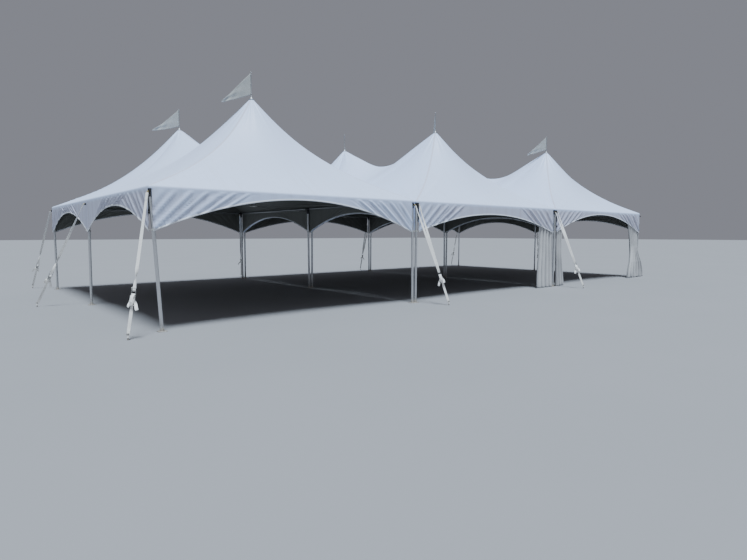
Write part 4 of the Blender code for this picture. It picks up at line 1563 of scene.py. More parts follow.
@dataclass
class EaveFrame(TentPart):
    """One canopy's ring of eave tubes, held by a casting at each corner and halfway along each side."""

    socket_radius: float = 0.0324
    socket_reach: float = 0.115
    seat: float = 0.065

    def corner(self, side: int, end: int) -> Array:
        """Returns where the tubes' axes meet at a corner, or pass the fitting halfway along a side."""
        plan = self.plan
        return self.centre + vec(side * (plan.half_x - plan.inset), end * (plan.half_y - plan.inset),
                                 plan.rail_height)

    def tubes(self, sweep: Sweep, finish: Material) -> Mesh:
        """Returns the six tubes, whose ends stand in the castings' sockets.

        Args:
            sweep: The recipe for round tubes.
            finish: The finish.

        Returns:
            The mesh.
        """
        ring = ((-1, -1), (1, -1), (1, 0), (1, 1), (-1, 1), (-1, 0))
        paths = []
        for first, second in zip(ring, (*ring[1:], ring[0])):
            start, end = self.corner(*first), self.corner(*second)
            way = unit(end - start)
            ends = [self.seat if turn[1] else 0.004 for turn in (first, second)]
            line = np.linspace(start + way * ends[0], end - way * ends[1], 5)
            paths.append((line, self.plan.tube_radius - 0.0002))
        return sweep.tubes(paths, finish, 24)

    def castings(self) -> Skin:
        """Returns the castings with their leg sleeves, cable eyes, strap lugs, bolts and set screws.

        Returns:
            The gathered bodies.
        """
        skin = Skin()
        for side in (-1, 1):
            for end in (-1, 0, 1):
                if end:
                    for way in (vec(-side, 0.0, 0.0), vec(0.0, -end, 0.0)):
                        self.socket(skin, self.corner(side, end), way, vec(-side, -end, 0.0) - way)
                else:
                    self.collar(skin, self.corner(side, end), side)
                self.sleeve(skin, side, end)
        return skin

    def socket(self, skin: Skin, corner: Array, way: Array, inside: Array) -> None:
        """Adds one of a corner casting's sockets with its bolt.

        Args:
            skin: The bodies gathered so far.
            corner: Where the tubes' axes meet.
            way: The way the tube runs.
            inside: The way into the tent.
        """
        lip, bore, reach = self.socket_radius, self.plan.tube_radius + CLEARANCE, self.socket_reach
        skin.lathe(corner, way, ((lip - 0.006, -0.018), (lip - 0.001, -0.010), (lip, 0.0),
                                 (lip, reach - 0.004), (lip - 0.0012, reach), (bore, reach),
                                 (bore, self.seat - 0.003)), 28)
        bolt = corner + way * (reach - 0.03) + inside * (lip - 0.001)
        skin.stud(bolt, inside, *BOLT)
        skin.stud(bolt, inside, (0.004, 0.014), (0.003, 0.015), 12)

    def collar(self, skin: Skin, middle: Array, side: int) -> None:
        """Adds the collar that joins two tubes halfway along a side, with its bolts.

        Args:
            skin: The bodies gathered so far.
            middle: Where the two tubes meet.
            side: -1 for the left side and 1 for the right one.
        """
        lip, bore, reach = self.socket_radius, self.plan.tube_radius + CLEARANCE, self.socket_reach
        skin.lathe(middle, BACK, ((bore, 0.0), (bore, -reach), (lip - 0.0012, -reach), (lip, 0.004 - reach),
                                  (lip, reach - 0.004), (lip - 0.0012, reach), (bore, reach),
                                  (bore, 0.0005)), 28)
        inside = vec(-float(side), 0.0, 0.0)
        for shift in (-0.070, 0.070):
            skin.stud(middle + BACK * shift + inside * (lip - 0.001), inside, *BOLT)

    def sleeve(self, skin: Skin, side: int, end: int) -> None:
        """Adds a leg sleeve with its set screw, its cable eyes and, outside, its strap lug.

        Args:
            skin: The bodies gathered so far.
            side: -1 for the left side and 1 for the right one.
            end: -1 for the front, 0 for the middle and 1 for the back.
        """
        plan = self.plan
        place = plan.fitting(side, end)
        axis = self.centre + place + UP * plan.rail_height
        radius, top = plan.sleeve_radius, plan.sleeve_top - plan.rail_height
        low = top - plan.sleeve_length
        dome = ((0.024, 0.031), (0.031, 0.012), (0.0322, 0.0)) if end else ((0.012, -0.012), (0.026, -0.020))
        waist = radius - 0.0015
        skin.lathe(axis, UP, (*dome, (0.030, top + 0.002), (radius - 0.001, top), (radius, top - 0.002),
                              (radius, top - 0.012), (waist, top - 0.016), (waist, low + 0.014),
                              (radius, low + 0.010), (radius, low + 0.001), (radius - 0.001, low)), 32)
        inward = unit(vec(-place[0], -end * plan.peak_reach, 0.0))
        screw = axis + UP * (top - plan.sleeve_length / 2) + inward * (radius - 0.003)
        skin.stud(screw, inward, (0.009, 0.008), (0.007, 0.010))
        for peak in ((end,) if end else (-1, 1)):
            inward = unit(vec(0.0, peak * plan.peak_place, 0.0) - place)
            eye = axis + UP * (plan.sleeve_top - plan.eye_below_sleeve_top - plan.rail_height)
            skin.slab(eye + inward * (plan.eye_reach / 2 - 0.001), (inward, UP, np.cross(UP, inward)),
                      (plan.eye_reach - 0.004, 0.034, 0.010), 0.004)
        outward = plan.outward(self.column, side, end)
        if outward is not None:
            cross = np.cross(UP, outward)
            lug = axis + UP * (plan.sleeve_top - plan.lug_below_sleeve_top - plan.rail_height)
            skin.slab(lug + outward * (plan.lug_reach / 2 + 0.004), (outward, UP, cross),
                      (plan.lug_reach - 0.008, 0.052, 0.012), 0.004)
            skin.sleeve(lug + outward * (plan.lug_reach - 0.016) - cross * 0.014, cross, (0.007, 0.009),
                        (0.002, 0.026, 0.028), 12)

    def build(self, sweep: Sweep, wardrobe: Wardrobe) -> None:
        """Builds the tubes and the castings as two pieces.

        Args:
            sweep: The recipe for round tubes.
            wardrobe: The finishes.
        """
        add_piece(f"eave_tubes_{self.name}", self.tubes(sweep, wardrobe.tube), wardrobe.tube, Slot.TUBE,
                  [f"eave_frame_{self.name}"])
        castings = self.castings().mesh("castings")
        add_piece(f"eave_castings_{self.name}", castings, wardrobe.fitting, Slot.TUBE)


@dataclass
class LegSet(GridPart):
    """The legs at one grid point, pinned into sockets on the foot plate that they share."""

    kick: Size = (0.0, 0.0)
    radius: float = 0.030
    plate_margin: float = 0.075
    plate_thickness: float = 0.008
    socket_height: float = 0.055
    socket_wall: float = 0.0035

    def lines(self) -> list[Pair]:
        """Returns each leg's head and foot.

        Returns:
            Pairs of a head and a foot.
        """
        plan = self.plan
        fittings = plan.fittings_at(self.column, self.row)
        lines = []
        for canopy, side, end in fittings:
            axis = plan.canopy_centre(canopy) + plan.fitting(side, end)
            foot_x = self.ground[0] - side * plan.leg_foot_offset if len(fittings) == 2 else axis[0]
            foot = vec(foot_x + self.kick[0], axis[1] + self.kick[1], self.plate_thickness + CLEARANCE)
            lines.append((axis + UP * plan.leg_top, foot))
        return lines

    def at(self, line: Pair, height: float) -> Array:
        """Returns the point on a leg's axis at a height."""
        head, foot = line
        return foot + (head - foot) * (height - foot[2]) / (head[2] - foot[2])

    def tubes(self, sweep: Sweep, finish: Material) -> Mesh:
        """Returns the leg tubes."""
        paths = [(np.linspace(foot, head, 9), self.radius) for head, foot in self.lines()]
        return sweep.tubes(paths, finish, 32)

    def hardware(self) -> Skin:
        """Returns the foot plate with its nails, and the legs' sockets and pins.

        Returns:
            The gathered bodies.
        """
        skin = Skin()
        feet = np.array([foot for _, foot in self.lines()])
        low, high = feet.min(0)[:2] - self.plate_margin, feet.max(0)[:2] + self.plate_margin
        middle = np.append((low + high) / 2, self.plate_thickness / 2)
        skin.slab(middle, (RIGHT, BACK, UP), (*(high - low), self.plate_thickness), 0.0025)
        reach = (high - low) / 2 - 0.022
        for sx in (-1, 1):
            for sy in (-1, 1):
                nail = middle + vec(sx * reach[0], sy * reach[1], 0.004)
                skin.lathe(nail, UP, ((0.010, 0.0), (0.010, 0.003), (0.007, 0.006), (0.001, 0.0065)), 14)
        outer, inner, top = self.radius + self.socket_wall, self.radius + 0.0004, self.socket_height
        for head, foot in self.lines():
            way = unit(head - foot)
            skin.lathe(foot, way, ((outer + 0.004, 0.0002), (outer + 0.001, 0.004), (outer, 0.008),
                                   (outer, top - 0.002), (outer - 0.001, top), (inner, top),
                                   (inner, 0.0002)), 28)
            upright = abs(way[2]) >= 0.9999
            side = RIGHT if upright else unit(np.cross(UP, way) + BACK * 1e-6)
            pin = foot + way * 0.036
            skin.stud(pin + side * outer, side, (0.006, 0.005), (0.0045, 0.007))
            skin.stud(pin - side * outer, -side, (0.0065, 0.004), (0.005, 0.006))
            screw = head - way * 0.045 + side * (self.radius - 0.002)
            skin.stud(screw, side, (0.0045, 0.005), (0.003, 0.0065), 12)
        return skin

    def build(self, sweep: Sweep, wardrobe: Wardrobe) -> None:
        """Builds the legs, and their plate with its hardware, as two pieces."""
        add_piece(f"leg_tubes_{self.name}", self.tubes(sweep, wardrobe.leg), wardrobe.leg, Slot.LEG,
                  [f"legs_{self.name}"])
        add_piece(f"foot_plate_{self.name}", self.hardware().mesh("plate"), wardrobe.zinc, Slot.LEG)


@dataclass
class Mast(PeakPart):
    """One floating mast: its foot disc, shaft, crown ring, cap and flag pole."""

    radius: float = 0.030
    foot_radius: float = 0.055
    foot_height: float = 2.300
    neck_radius: float = 0.018
    cap_radius: float = 0.058
    pole_radius: float = 0.009
    pole_top: float = 5.320

    def build(self, wardrobe: Wardrobe) -> None:
        """Builds the mast as one turned piece.

        Args:
            wardrobe: The finishes.
        """
        base = self.plan.peak + CLEARANCE
        shoulder = self.plan.peak - 0.080
        foot, foot_radius, radius, neck = self.foot_height, self.foot_radius, self.radius, self.neck_radius
        cap, pole, top = self.cap_radius, self.pole_radius, self.pole_top
        profile = [
            (foot_radius - 0.003, foot), (foot_radius, foot + 0.002), (foot_radius, foot + 0.010),
            (foot_radius - 0.002, foot + 0.012), (0.040, foot + 0.013), (0.034, foot + 0.020),
            (0.0315, foot + 0.030), (radius, foot + 0.032), (radius, shoulder - 0.001),
            (radius - 0.002, shoulder + 0.003), (neck, shoulder + 0.028), (neck, base),
            (cap - 0.002, base), (cap, base + 0.002), (cap, base + 0.007), (cap - 0.003, base + 0.010),
            (0.046, base + 0.020), (0.030, base + 0.038), (0.018, base + 0.060), (0.013, base + 0.080),
            (pole + 0.002, base + 0.092), (pole, base + 0.096), (pole, top - 0.026), (0.006, top - 0.022),
            (0.010, top - 0.017), (0.0115, top - 0.0115), (0.010, top - 0.006), (0.006, top - 0.001),
            (0.001, top),
        ]
        skin = Skin()
        skin.lathe(self.ground, UP, profile, 32)
        add_piece(f"floating_mast_{self.name}", skin.mesh("mast"), wardrobe.mast, Slot.TUBE,
                  [f"mast_{self.name}"], 30)


@dataclass
class CableCross(PeakPart):
    """The four crossed wire ropes that carry a mast, with their hub, turnbuckles and end sleeves."""

    radius: float = 0.006
    hub_radius: float = 0.050
    hub_top: float = 2.2997
    hub_bottom: float = 2.2757
    turnbuckle: float = 0.24

    def runs(self) -> list[Pair]:
        """Returns each rope's ends: at the hub, and at the eye of a fitting.

        Returns:
            Pairs of the two ends.
        """
        plan = self.plan
        peak = -1 if self.row == 0 else 1
        eye_height = plan.sleeve_top - plan.eye_below_sleeve_top
        found = []
        for side in (-1, 1):
            for end in (0, peak):
                reach = plan.fitting(side, end) - vec(0.0, peak * plan.peak_place, 0.0)
                way = unit(reach)
                span = np.linalg.norm(reach) - plan.eye_reach - CLEARANCE
                finish = self.ground + way * span + UP * eye_height
                start = self.ground + way * 0.030 + UP * ((self.hub_top + self.hub_bottom) / 2)
                found.append((start, finish))
        return found

    def hardware(self) -> Skin:
        """Returns the hub, the turnbuckles and the rope ends' sleeves.

        Returns:
            The gathered bodies.
        """
        skin = Skin()
        low, high, wide = self.hub_bottom, self.hub_top, self.hub_radius
        skin.lathe(self.ground, UP, ((wide - 0.012, low), (wide - 0.003, low + 0.001), (wide, low + 0.005),
                                     (wide, high - 0.004), (wide - 0.003, high - 0.0005),
                                     (0.008, high - 0.0005)), 32)
        for start, end in self.runs():
            way = unit(end - start)
            middle = end - way * self.turnbuckle
            for shift in (-0.075, 0.055):
                skin.sleeve(middle + way * shift, way, (0.008, 0.012), (0.003, 0.017, 0.020))
            side = unit(np.cross(UP, way))
            up = np.cross(way, side)
            for sign in (-1, 1):
                skin.slab(middle + up * (sign * 0.0095), (way, side, up), (0.125, 0.010, 0.0045), 0.0015)
            for place in (end - way * 0.046, start + way * 0.024):
                skin.sleeve(place, way, (0.0085, 0.0095), (0.003, 0.030, 0.034))
        return skin

    def build(self, sweep: Sweep, wardrobe: Wardrobe) -> None:
        """Builds the ropes and their hardware as two pieces.

        Args:
            sweep: The recipe for round tubes.
            wardrobe: The finishes.
        """
        paths = [(np.linspace(start, end, 40), self.radius) for start, end in self.runs()]
        ropes = sweep.tubes(paths, wardrobe.cable, 12)
        add_piece(f"wire_ropes_{self.name}", ropes, wardrobe.cable, Slot.CABLE, [f"cables_{self.name}"])
        add_piece(f"cable_hub_{self.name}", self.hardware().mesh("hub"), wardrobe.zinc, Slot.CABLE)


class FlagWave(Recipe):
    """Shapes a flat grid from 0 to 1 in x (fly) and y (hoist) into a flag that flies from a pole."""

    SIZES = ("Pole", "Fly", "Hoist", "Tip", "Drop", "Wave", "Curl", "Heading", "Top")

    def __init__(self) -> None:
        """Builds the tree."""
        sockets = {name: "NodeSocketFloat" for name in self.SIZES}
        super().__init__("flag_wave", {**sockets, "Material": "NodeSocketMaterial"})
        share, across, _ = self.split(self.add("GeometryNodeInputPosition"))
        sizes = {name: self.given(name) for name in self.SIZES}
        height = sizes["Hoist"] + (sizes["Tip"] - sizes["Hoist"]) * share
        z = sizes["Top"] - sizes["Hoist"] - sizes["Drop"] * share + height * across
        wave = sizes["Wave"] * (share * math.tau).sine() * share + sizes["Curl"] * share * share
        long_ripple = (share * 19.0 + across * 4.0).sine() * share * 0.008
        side = wave + (long_ripple + (across * 9.0 - share * 7.0).sine() * share * 0.006)
        reach = sizes["Pole"] + sizes["Fly"] * share
        cosine = self.math("COSINE", sizes["Heading"])
        sine = self.math("SINE", sizes["Heading"])
        place = self.vector(reach * cosine - side * sine, reach * sine + side * cosine, z)
        self.close(self.add("GeometryNodeSetPosition", None, {"Geometry": self.source, "Position": place}))


@dataclass
class Pennant(PeakPart):
    """One triangular flag that hangs from its pole by three rings."""

    heading: float
    curl: float
    hoist: float = 0.480
    fly: float = 0.660
    drop: float = 0.170
    tip: float = 0.030
    wave: float = 0.024
    top: float = 5.290
    pole_radius: float = 0.009
    thickness: float = 0.0016
    steps: tuple[int, int] = (44, 22)

    def build(self, recipe: FlagWave, wardrobe: Wardrobe) -> None:
        """Builds the flag and its rings.

        Args:
            recipe: The flag's recipe.
            wardrobe: The finishes.
        """
        shares, rises = np.meshgrid(*(np.arange(count + 1) / count for count in self.steps), indexing="ij")
        skin = Skin()
        cut = np.stack([shares * self.fly, rises * self.hoist], -1)
        skin.sheet(np.stack([shares, rises, 0 * shares], -1), cut)
        values = {"Pole": self.pole_radius + 0.0015, "Fly": self.fly, "Hoist": self.hoist, "Tip": self.tip,
                  "Drop": self.drop, "Wave": self.wave, "Curl": self.curl, "Heading": self.heading,
                  "Top": self.top, "Material": wardrobe.flag}
        mesh = recipe.run(skin.mesh("flag", closed=False), values)
        points = np.empty(len(mesh.vertices) * 3)
        mesh.vertices.foreach_get("co", points)
        mesh.vertices.foreach_set("co", (points.reshape(-1, 3) + self.ground).ravel())
        flag = make_object(f"flag_{self.name}", mesh, (wardrobe.flag,), 60)
        thicken(flag, self.thickness)
        hand_over(flag, Slot.FLAG, [f"pennant_{self.name}"])
        rings = Skin()
        for height in (self.top - 0.030, self.top - self.hoist / 2, self.top - self.hoist + 0.030):
            rings.ring(self.ground + UP * height, UP, self.pole_radius + 0.0030, 0.0022)
        item = add_piece(f"flag_rings_{self.name}", rings.mesh("rings"), wardrobe.zinc, Slot.FLAG)


@dataclass
class GuyStrap(GridPart):
    """A ratchet strap from the lugs of one grid point to its stake."""

    stake: Size
    twist: float
    width: float = 0.050
    thickness: float = 0.003
    strand_gap: float = 0.004
    merge_place: float = 0.62
    ratchet_place: float = 0.72
    hook_depth: float = 0.024
    hook_loop: float = 0.030
    above_ratchet: float = 0.055
    below_ratchet: float = 0.058
    end_height: float = 0.060
    hank_turns: float = 3.5
    stake_height: float = 0.110
    stake_radius: float = 0.0125

    def hooks(self) -> list[Pair]:
        """Returns each lug's outer end, and the way it points.

        Returns:
            Pairs of a point and a direction.
        """
        plan = self.plan
        found = []
        for canopy, side, end in plan.fittings_at(self.column, self.row):
            outward = plan.outward(canopy, side, end)
            axis = plan.canopy_centre(canopy) + plan.fitting(side, end)
            axis = axis + UP * (plan.sleeve_top - plan.lug_below_sleeve_top)
            found.append((axis + outward * (plan.lug_reach + CLEARANCE), outward))
        return found

    def frame(self) -> tuple[Array, Array, Array, Array, Array]:
        """Returns the strap's head and foot, and its directions along, across and away from the ground.

        Returns:
            Two points and three directions.
        """
        head = np.mean([point + outward * (self.hook_depth / 2) for point, outward in self.hooks()], axis=0)
        foot = self.ground + np.array((*self.stake, self.end_height))
        along = unit(foot - head)
        across = unit(np.cross(along, UP))
        return head, foot, along, across, np.cross(across, along)

    def twisted(self, turn: Array | float) -> Pair:
        """Returns the directions across and away from the ground, turned round the strap's length."""
        _, _, _, across, face = self.frame()
        turn = np.asarray(turn)[..., None]
        return np.cos(turn) * across + np.sin(turn) * face, np.cos(turn) * face - np.sin(turn) * across

    def at(self, shares: Array | float) -> Array:
        """Returns the points at shares of the way from the strap's head to its foot."""
        head, foot, *_ = self.frame()
        return head + (foot - head) * np.asarray(shares)[..., None]

    def single_band(self, lead: float, entry: float) -> Pair:
        """Returns the path and the width direction of the band from a single lug to the ratchet."""
        shares = np.linspace(self.hook_loop / lead, entry, 90)
        turn = smooth(shares, 0.50, 0.68) * math.pi + smooth(shares, 0.05, 0.40) * self.twist
        return self.at(shares), self.twisted(turn)[0]

    def joining_band(self, start: Array, entry: float) -> Pair:
        """Returns the path and the width direction of one of two bands that join above the ratchet.

        Args:
            start: Where it begins, below its hook.
            entry: The share of the strap's length at which the ratchet begins.

        Returns:
            The path, and the width direction at each of its points.
        """
        head, _, _, across, _ = self.frame()
        join = self.merge_place - 0.04
        side = math.copysign((self.width + self.strand_gap) / 2, (start - head) @ across)
        mark = self.at(join) + across * side
        upper = np.linspace(0, 1, 60)[:, None] * (mark - start) + start
        shares = np.linspace(join, entry, 24)[1:]
        fade = 1 - smooth(shares, join, entry - 0.01)
        rise = smooth(shares, join, self.merge_place)
        lower = (self.at(shares) + across * (side * fade)[:, None]
                 + self.twisted(self.twist)[1] * (math.copysign(0.0021, side) * rise)[:, None])
        path = np.concatenate([upper, lower])
        turn = 0.05 * np.sin(np.linspace(0, 9, len(path)) + side * 40)
        return path, self.twisted(turn + smooth(np.linspace(0, 1, len(path)), 0.06, 0.50) * self.twist)[0]

    def strands(self) -> Skin:
        """Returns the webbing above and below the ratchet.

        Returns:
            The gathered bands.
        """
        head, foot, along, across, face = self.frame()
        lead = np.linalg.norm(foot - head)
        entry = self.ratchet_place - self.above_ratchet / lead
        skin = Skin()
        hooks = self.hooks()
        for point, outward in hooks:
            start = point + outward * (self.hook_depth / 2) + along * self.hook_loop
            if len(hooks) == 1:
                path, wide = self.single_band(lead, entry)
            else:
                path, wide = self.joining_band(start, entry)
            skin.ribbon(path, wide, self.width, self.thickness)
            self.loop(skin, start, along, across, face)
        out = self.ratchet_place + self.below_ratchet / lead
        shares = np.linspace(out, 1 - 0.020 / lead, 40)
        path = self.at(shares)
        narrow = self.width * (0.55 + 0.45 * smooth(shares, out + 0.02, out + 0.10))
        wide, _ = self.twisted(self.twist + 0.25 * np.sin(np.linspace(0, 3, 40)))
        across, face = self.twisted(self.twist)
        skin.ribbon(path, wide, narrow, self.thickness)
        skin.ribbon(path + face * 0.0045, wide, narrow * 0.96, self.thickness)
        spool = self.at(self.ratchet_place) - across * 0.0245
        skin.sleeve(spool, across, (0.017, 0.0185), (0.001, 0.048, 0.049), 28)
        turns = np.linspace(0, math.tau, 33)
        circle = np.stack([np.cos(turns), np.sin(turns), 0 * turns], -1) * 0.0165
        skin.ribbon(foot - UP * 0.002 + circle, UP, 0.040, self.thickness)
        return skin

    def loop(self, skin: Skin, start: Array, along: Array, across: Array, face: Array) -> None:
        """Adds the stitched loop that holds a hook.

        Args:
            skin: The bodies gathered so far.
            start: Where it begins, below its hook.
            along: The direction down the strap.
            across: The direction of its width.
            face: The direction away from the ground.
        """
        turns = np.linspace(-0.5 * math.pi, 0.5 * math.pi, 12)
        arc = [start - along * (0.012 * math.cos(turn)) + face * (0.0065 * math.sin(turn)) for turn in turns]
        path = np.array([start + along * 0.070 - face * 0.0040, start + along * 0.020 - face * 0.0055, *arc,
                         start + along * 0.020 + face * 0.0055, start + along * 0.110 + face * 0.0036])
        skin.ribbon(path, across, self.width * 0.97, self.thickness * 0.8)

    def bundle(self, random: np.random.Generator) -> Skin:
        """Returns the loose end: wound into a hank over the ratchet, bound, and hanging free.

        Args:
            random: The source of this strap's own turns.

        Returns:
            The gathered bands.
        """
        _, _, along, _, _ = self.frame()
        across, face = self.twisted(self.twist)
        middle = self.at(self.ratchet_place) + along * 0.095 + face * 0.034
        skin = Skin()
        turns = np.linspace(0, math.tau * self.hank_turns, 120)
        size = 1.0 - 0.16 * turns / (math.tau * self.hank_turns)
        lean = 0.35 * math.sin(random.uniform(0, 6))
        wide = unit(across + face * lean * 0.5)
        thick = np.cross(along, wide)
        sway = 0.006 * np.sin(turns * 0.5 + random.uniform(0, 6))
        swung = np.cos(turns)
        path = (middle + along * (0.088 * np.sign(swung) * np.abs(swung) ** 0.7 * size)[:, None]
                + thick * (0.026 * np.sin(turns) * size)[:, None] + wide * sway[:, None])
        skin.ribbon(path, wide, self.width, self.thickness)
        turns = np.linspace(0, math.tau * 2.2, 70)
        path = (middle + along * (0.012 * np.sin(turns * 0.45))[:, None]
                + wide * (0.034 * np.cos(turns))[:, None] + thick * (0.032 * np.sin(turns))[:, None])
        skin.ribbon(path, along, self.width * 0.8, self.thickness)
        reach = np.linspace(0, 1, 30)[:, None]
        first = random.choice((-1.0, 1.0))
        for swing, length, spread in ((first, 0.12, 0.070), (-first, 0.085, 0.018)):
            start = middle + wide * (swing * 0.030) + along * 0.004
            path = (start + along * (length * reach ** 1.2) + wide * (swing * spread * reach)
                    + thick * (0.014 * np.sin(reach * 5)) - UP * (0.020 * reach ** 2))
            turn = 0.5 * reach
            side = np.cos(turn) * (wide * swing - along * 0.45) + np.sin(turn) * thick
            skin.ribbon(path, unit_rows(side), self.width * (1.0 - 0.25 * (1 - reach[:, 0])), self.thickness)
        return skin

    def ratchet(self) -> Skin:
        """Returns the ratchet's frame, handle, axle and pawl.

        Returns:
            The gathered bodies.
        """
        _, _, along, _, _ = self.frame()
        across, face = self.twisted(self.twist)
        middle = self.at(self.ratchet_place)
        skin = Skin()
        swung = unit(along * 0.98 - face * 0.20) * -1
        raised = np.cross(across, swung) * -1
        handle = middle + raised * 0.004
        for sign in (-1, 1):
            out = across * sign
            skin.slab(middle + out * 0.0290 + along * 0.010, (along, face, across),
                      (0.140, 0.036, 0.003), 0.001)
            skin.slab(handle + out * 0.0335 + swung * 0.050, (swung, raised, across),
                      (0.130, 0.028, 0.0025), 0.001)
            skin.lathe(middle + out * 0.0250, out, ((0.0215, 0.0), (0.0225, 0.001), (0.0225, 0.0025)), 18)
            skin.stud(middle + out * 0.0350, out, (0.010, 0.004), (0.007, 0.006))
        bars = ((middle, 0.0105, 0.072, 18), (middle + along * 0.068, 0.006, 0.066, 14),
                (handle + swung * 0.108, 0.008, 0.072, 16))
        for place, radius, length, sides in bars:
            skin.lathe(place - across * (length / 2), across, ((radius, 0.0), (radius, length)), sides)
        skin.slab(middle + along * 0.036 + face * 0.010, (along, across, face), (0.034, 0.052, 0.003), 0.001)
        return skin

    def hooks_and_stake(self, sweep: Sweep, finish: Material) -> tuple[Mesh, Skin]:
        """Returns the wire hooks, and the stake's head above the ground.

        Args:
            sweep: The recipe for round tubes.
            finish: The finish.

        Returns:
            The hooks' mesh, and the stake's gathered body.
        """
        _, _, along, across, _ = self.frame()
        paths = []
        for point, outward in self.hooks():
            centre = point + outward * (self.hook_depth / 2)
            for sign in (-1, 1):
                side = across * (sign * 0.013)
                path = np.array([centre + side * 1.3 + along * 0.024, centre + side - outward * 0.002,
                                 centre + side * 0.75 - outward * 0.012 + UP * 0.012,
                                 centre + side * 0.70 - outward * 0.020 + UP * 0.012])
                paths.append((np.array(curve_through(path, 6)), 0.0035))
            bar = centre + along * 0.024
            paths.append((np.array([bar + across * 0.022, bar - across * 0.022]), 0.0035))
        peg = Skin()
        radius, top = self.stake_radius, self.stake_height
        place = self.ground + np.array((*self.stake, 0.0))
        peg.lathe(place, UP, ((radius, 0.0), (radius, top - 0.022), (0.0205, top - 0.020),
                              (0.022, top - 0.016), (0.022, top - 0.006), (0.019, top - 0.001),
                              (0.008, top)), 24)
        return sweep.tubes(paths, finish, 10), peg

    def build(self, sweep: Sweep, wardrobe: Wardrobe) -> None:
        """Builds the webbing, the loose end, the ratchet, the hooks and the stake.

        Args:
            sweep: The recipe for round tubes.
            wardrobe: The finishes.
        """
        random = np.random.default_rng(40 + 10 * self.column + self.row)
        webbing = self.strands().mesh("webbing")
        add_piece(f"strap_webbing_{self.name}", webbing, wardrobe.webbing, Slot.WEBBING,
                  [f"strap_{self.name}"])
        hooks, peg = self.hooks_and_stake(sweep, wardrobe.brass)
        for title, mesh, finish in (("loose_end", self.bundle(random).mesh("bundle"), wardrobe.webbing),
                                    ("ratchet", self.ratchet().mesh("ratchet"), wardrobe.zinc),
                                    ("strap_hooks", hooks, wardrobe.brass),
                                    ("stake", peg.mesh("stake"), wardrobe.zinc)):
            add_piece(f"{title}_{self.name}", mesh, finish, Slot.WEBBING)


@dataclass
class Curtain:
    """A curtain bunched at one end of a bay, in upright folds from the eave tube to the ground."""

    plan: Plan
    name: str
    starts: Triple
    ends: Triple
    folds: int
    swing: float
    swings: tuple[float, ...]
    ruffle: float = 0.0
    fold_depth: float = 0.045
    rail_share: float = 0.35
    rows: int = 72
    thickness: float = 0.002
    hem_height: float = 0.010

    @property
    def rail_place(self) -> float:
        """Where the front eave tubes' axes lie, from the front to the back."""
        return self.plan.grid_point(0, 0)[1] + self.plan.leg_offset

    def height(self, share: Array) -> Array:
        """Returns the height of a row, from the rail to the hem."""
        top = self.plan.rail_height - self.plan.tube_radius - 0.014
        return top + (self.hem_height - top) * share

    def surface(self) -> Array:
        """Returns the cloth's points, row by row.

        Returns:
            The points, as rows, columns and coordinates.
        """
        share = np.linspace(0, 1, self.rows + 1)[:, None]
        columns = self.folds * 24
        around = np.linspace(0, 1, columns + 1)[None, :]
        eased = 0.5 * (smooth(share, 0.0, 0.5) + smooth(share, 0.5, 1.0))
        start = np.interp(eased, (0, 0.5, 1), self.starts)
        end = np.interp(eased, (0, 0.5, 1), self.ends)
        cos = np.cos(math.tau * self.folds * around
                     + 0.25 * np.sin(share * 5 + around * 7) * np.sin(math.pi * around))
        round_fold = np.sign(cos) * np.abs(cos) ** 0.8
        amplitude = self.fold_depth * (self.rail_share + (1 - self.rail_share) * share)
        swing = np.interp(share, np.linspace(0, 1, len(self.swings)), self.swings) * self.swing
        fine = np.sin(around * self.folds * 17 + 3 * share) * np.sin(share * 9 + around * 4)
        y = self.rail_place - amplitude * round_fold - swing + 0.003 * fine * np.sin(math.pi * around)
        hem = smooth(share, 0.90, 1.0)
        y = y + self.ruffle * hem * np.sin(around * self.folds * 23 + 2) * np.sin(math.pi * around)
        x = start + (end - start) * (around + 0.02 * np.sin(math.tau * around) * np.sin(share * 6))
        lift = self.ruffle * 1.6 * hem * (1 + np.sin(around * self.folds * 15)) * 0.5
        z = self.height(share) + 0 * around + lift
        return np.stack([x, y, z], -1)

    def build(self, wardrobe: Wardrobe) -> None:
        """Builds the cloth.

        Args:
            wardrobe: The finishes.
        """
        grid = self.surface()
        lengths = np.linalg.norm(np.diff(grid, axis=1), axis=-1)
        across = np.concatenate([np.zeros((len(grid), 1)), np.cumsum(lengths, axis=1)], axis=1)
        width = across[:, -1].mean()
        across = across / across[:, -1:] * width
        down = grid[0, 0, 2] - grid[..., 2]
        skin = Skin()
        skin.sheet(grid, np.stack([across, down], -1))
        mesh = skin.mesh("curtain", closed=False)
        # The crease marks the folds' inward valleys, which the finish darkens as painted shade.
        inward = grid[..., 1] - grid[..., 1].mean(axis=1, keepdims=True)
        store(mesh, "crease", smooth(inward, -0.2 * self.fold_depth, self.fold_depth))
        item = make_object(f"{self.name}_cloth", mesh, (wardrobe.curtain,), 70)
        thicken(item, self.thickness)
        hand_over(item, Slot.CURTAIN, [self.name])
        drop = grid[0, 0, 2] - self.hem_height
        rail = "eave_frame_middle" if "middle" in self.name else "eave_frame_right"

    def rings(self, scatter: Scatter, wardrobe: Wardrobe) -> None:
        """Builds the rings that carry the cloth on the eave tube.

        Args:
            scatter: The recipe for repeated parts.
            wardrobe: The finishes.
        """
        sample = Skin()
        radius = self.plan.tube_radius
        sample.ring(np.zeros(3), RIGHT, radius + 0.0017, 0.0012)
        sample.slab(vec(0.0, 0.0, -radius - 0.012), (UP, RIGHT, BACK), (0.018, 0.004, 0.0024), 0.0005)
        shares = (np.arange(self.folds * 2) + 0.5) / (self.folds * 2)
        start, end = self.starts[0], self.ends[0]
        places = [(vec(start + (end - start) * share, self.rail_place, self.plan.rail_height), 0.0)
                  for share in shares]
        mesh = scatter.copies(sample.mesh("ring"), places, wardrobe.zinc)
        add_piece(f"{self.name}_rings", mesh, wardrobe.zinc, Slot.CURTAIN)


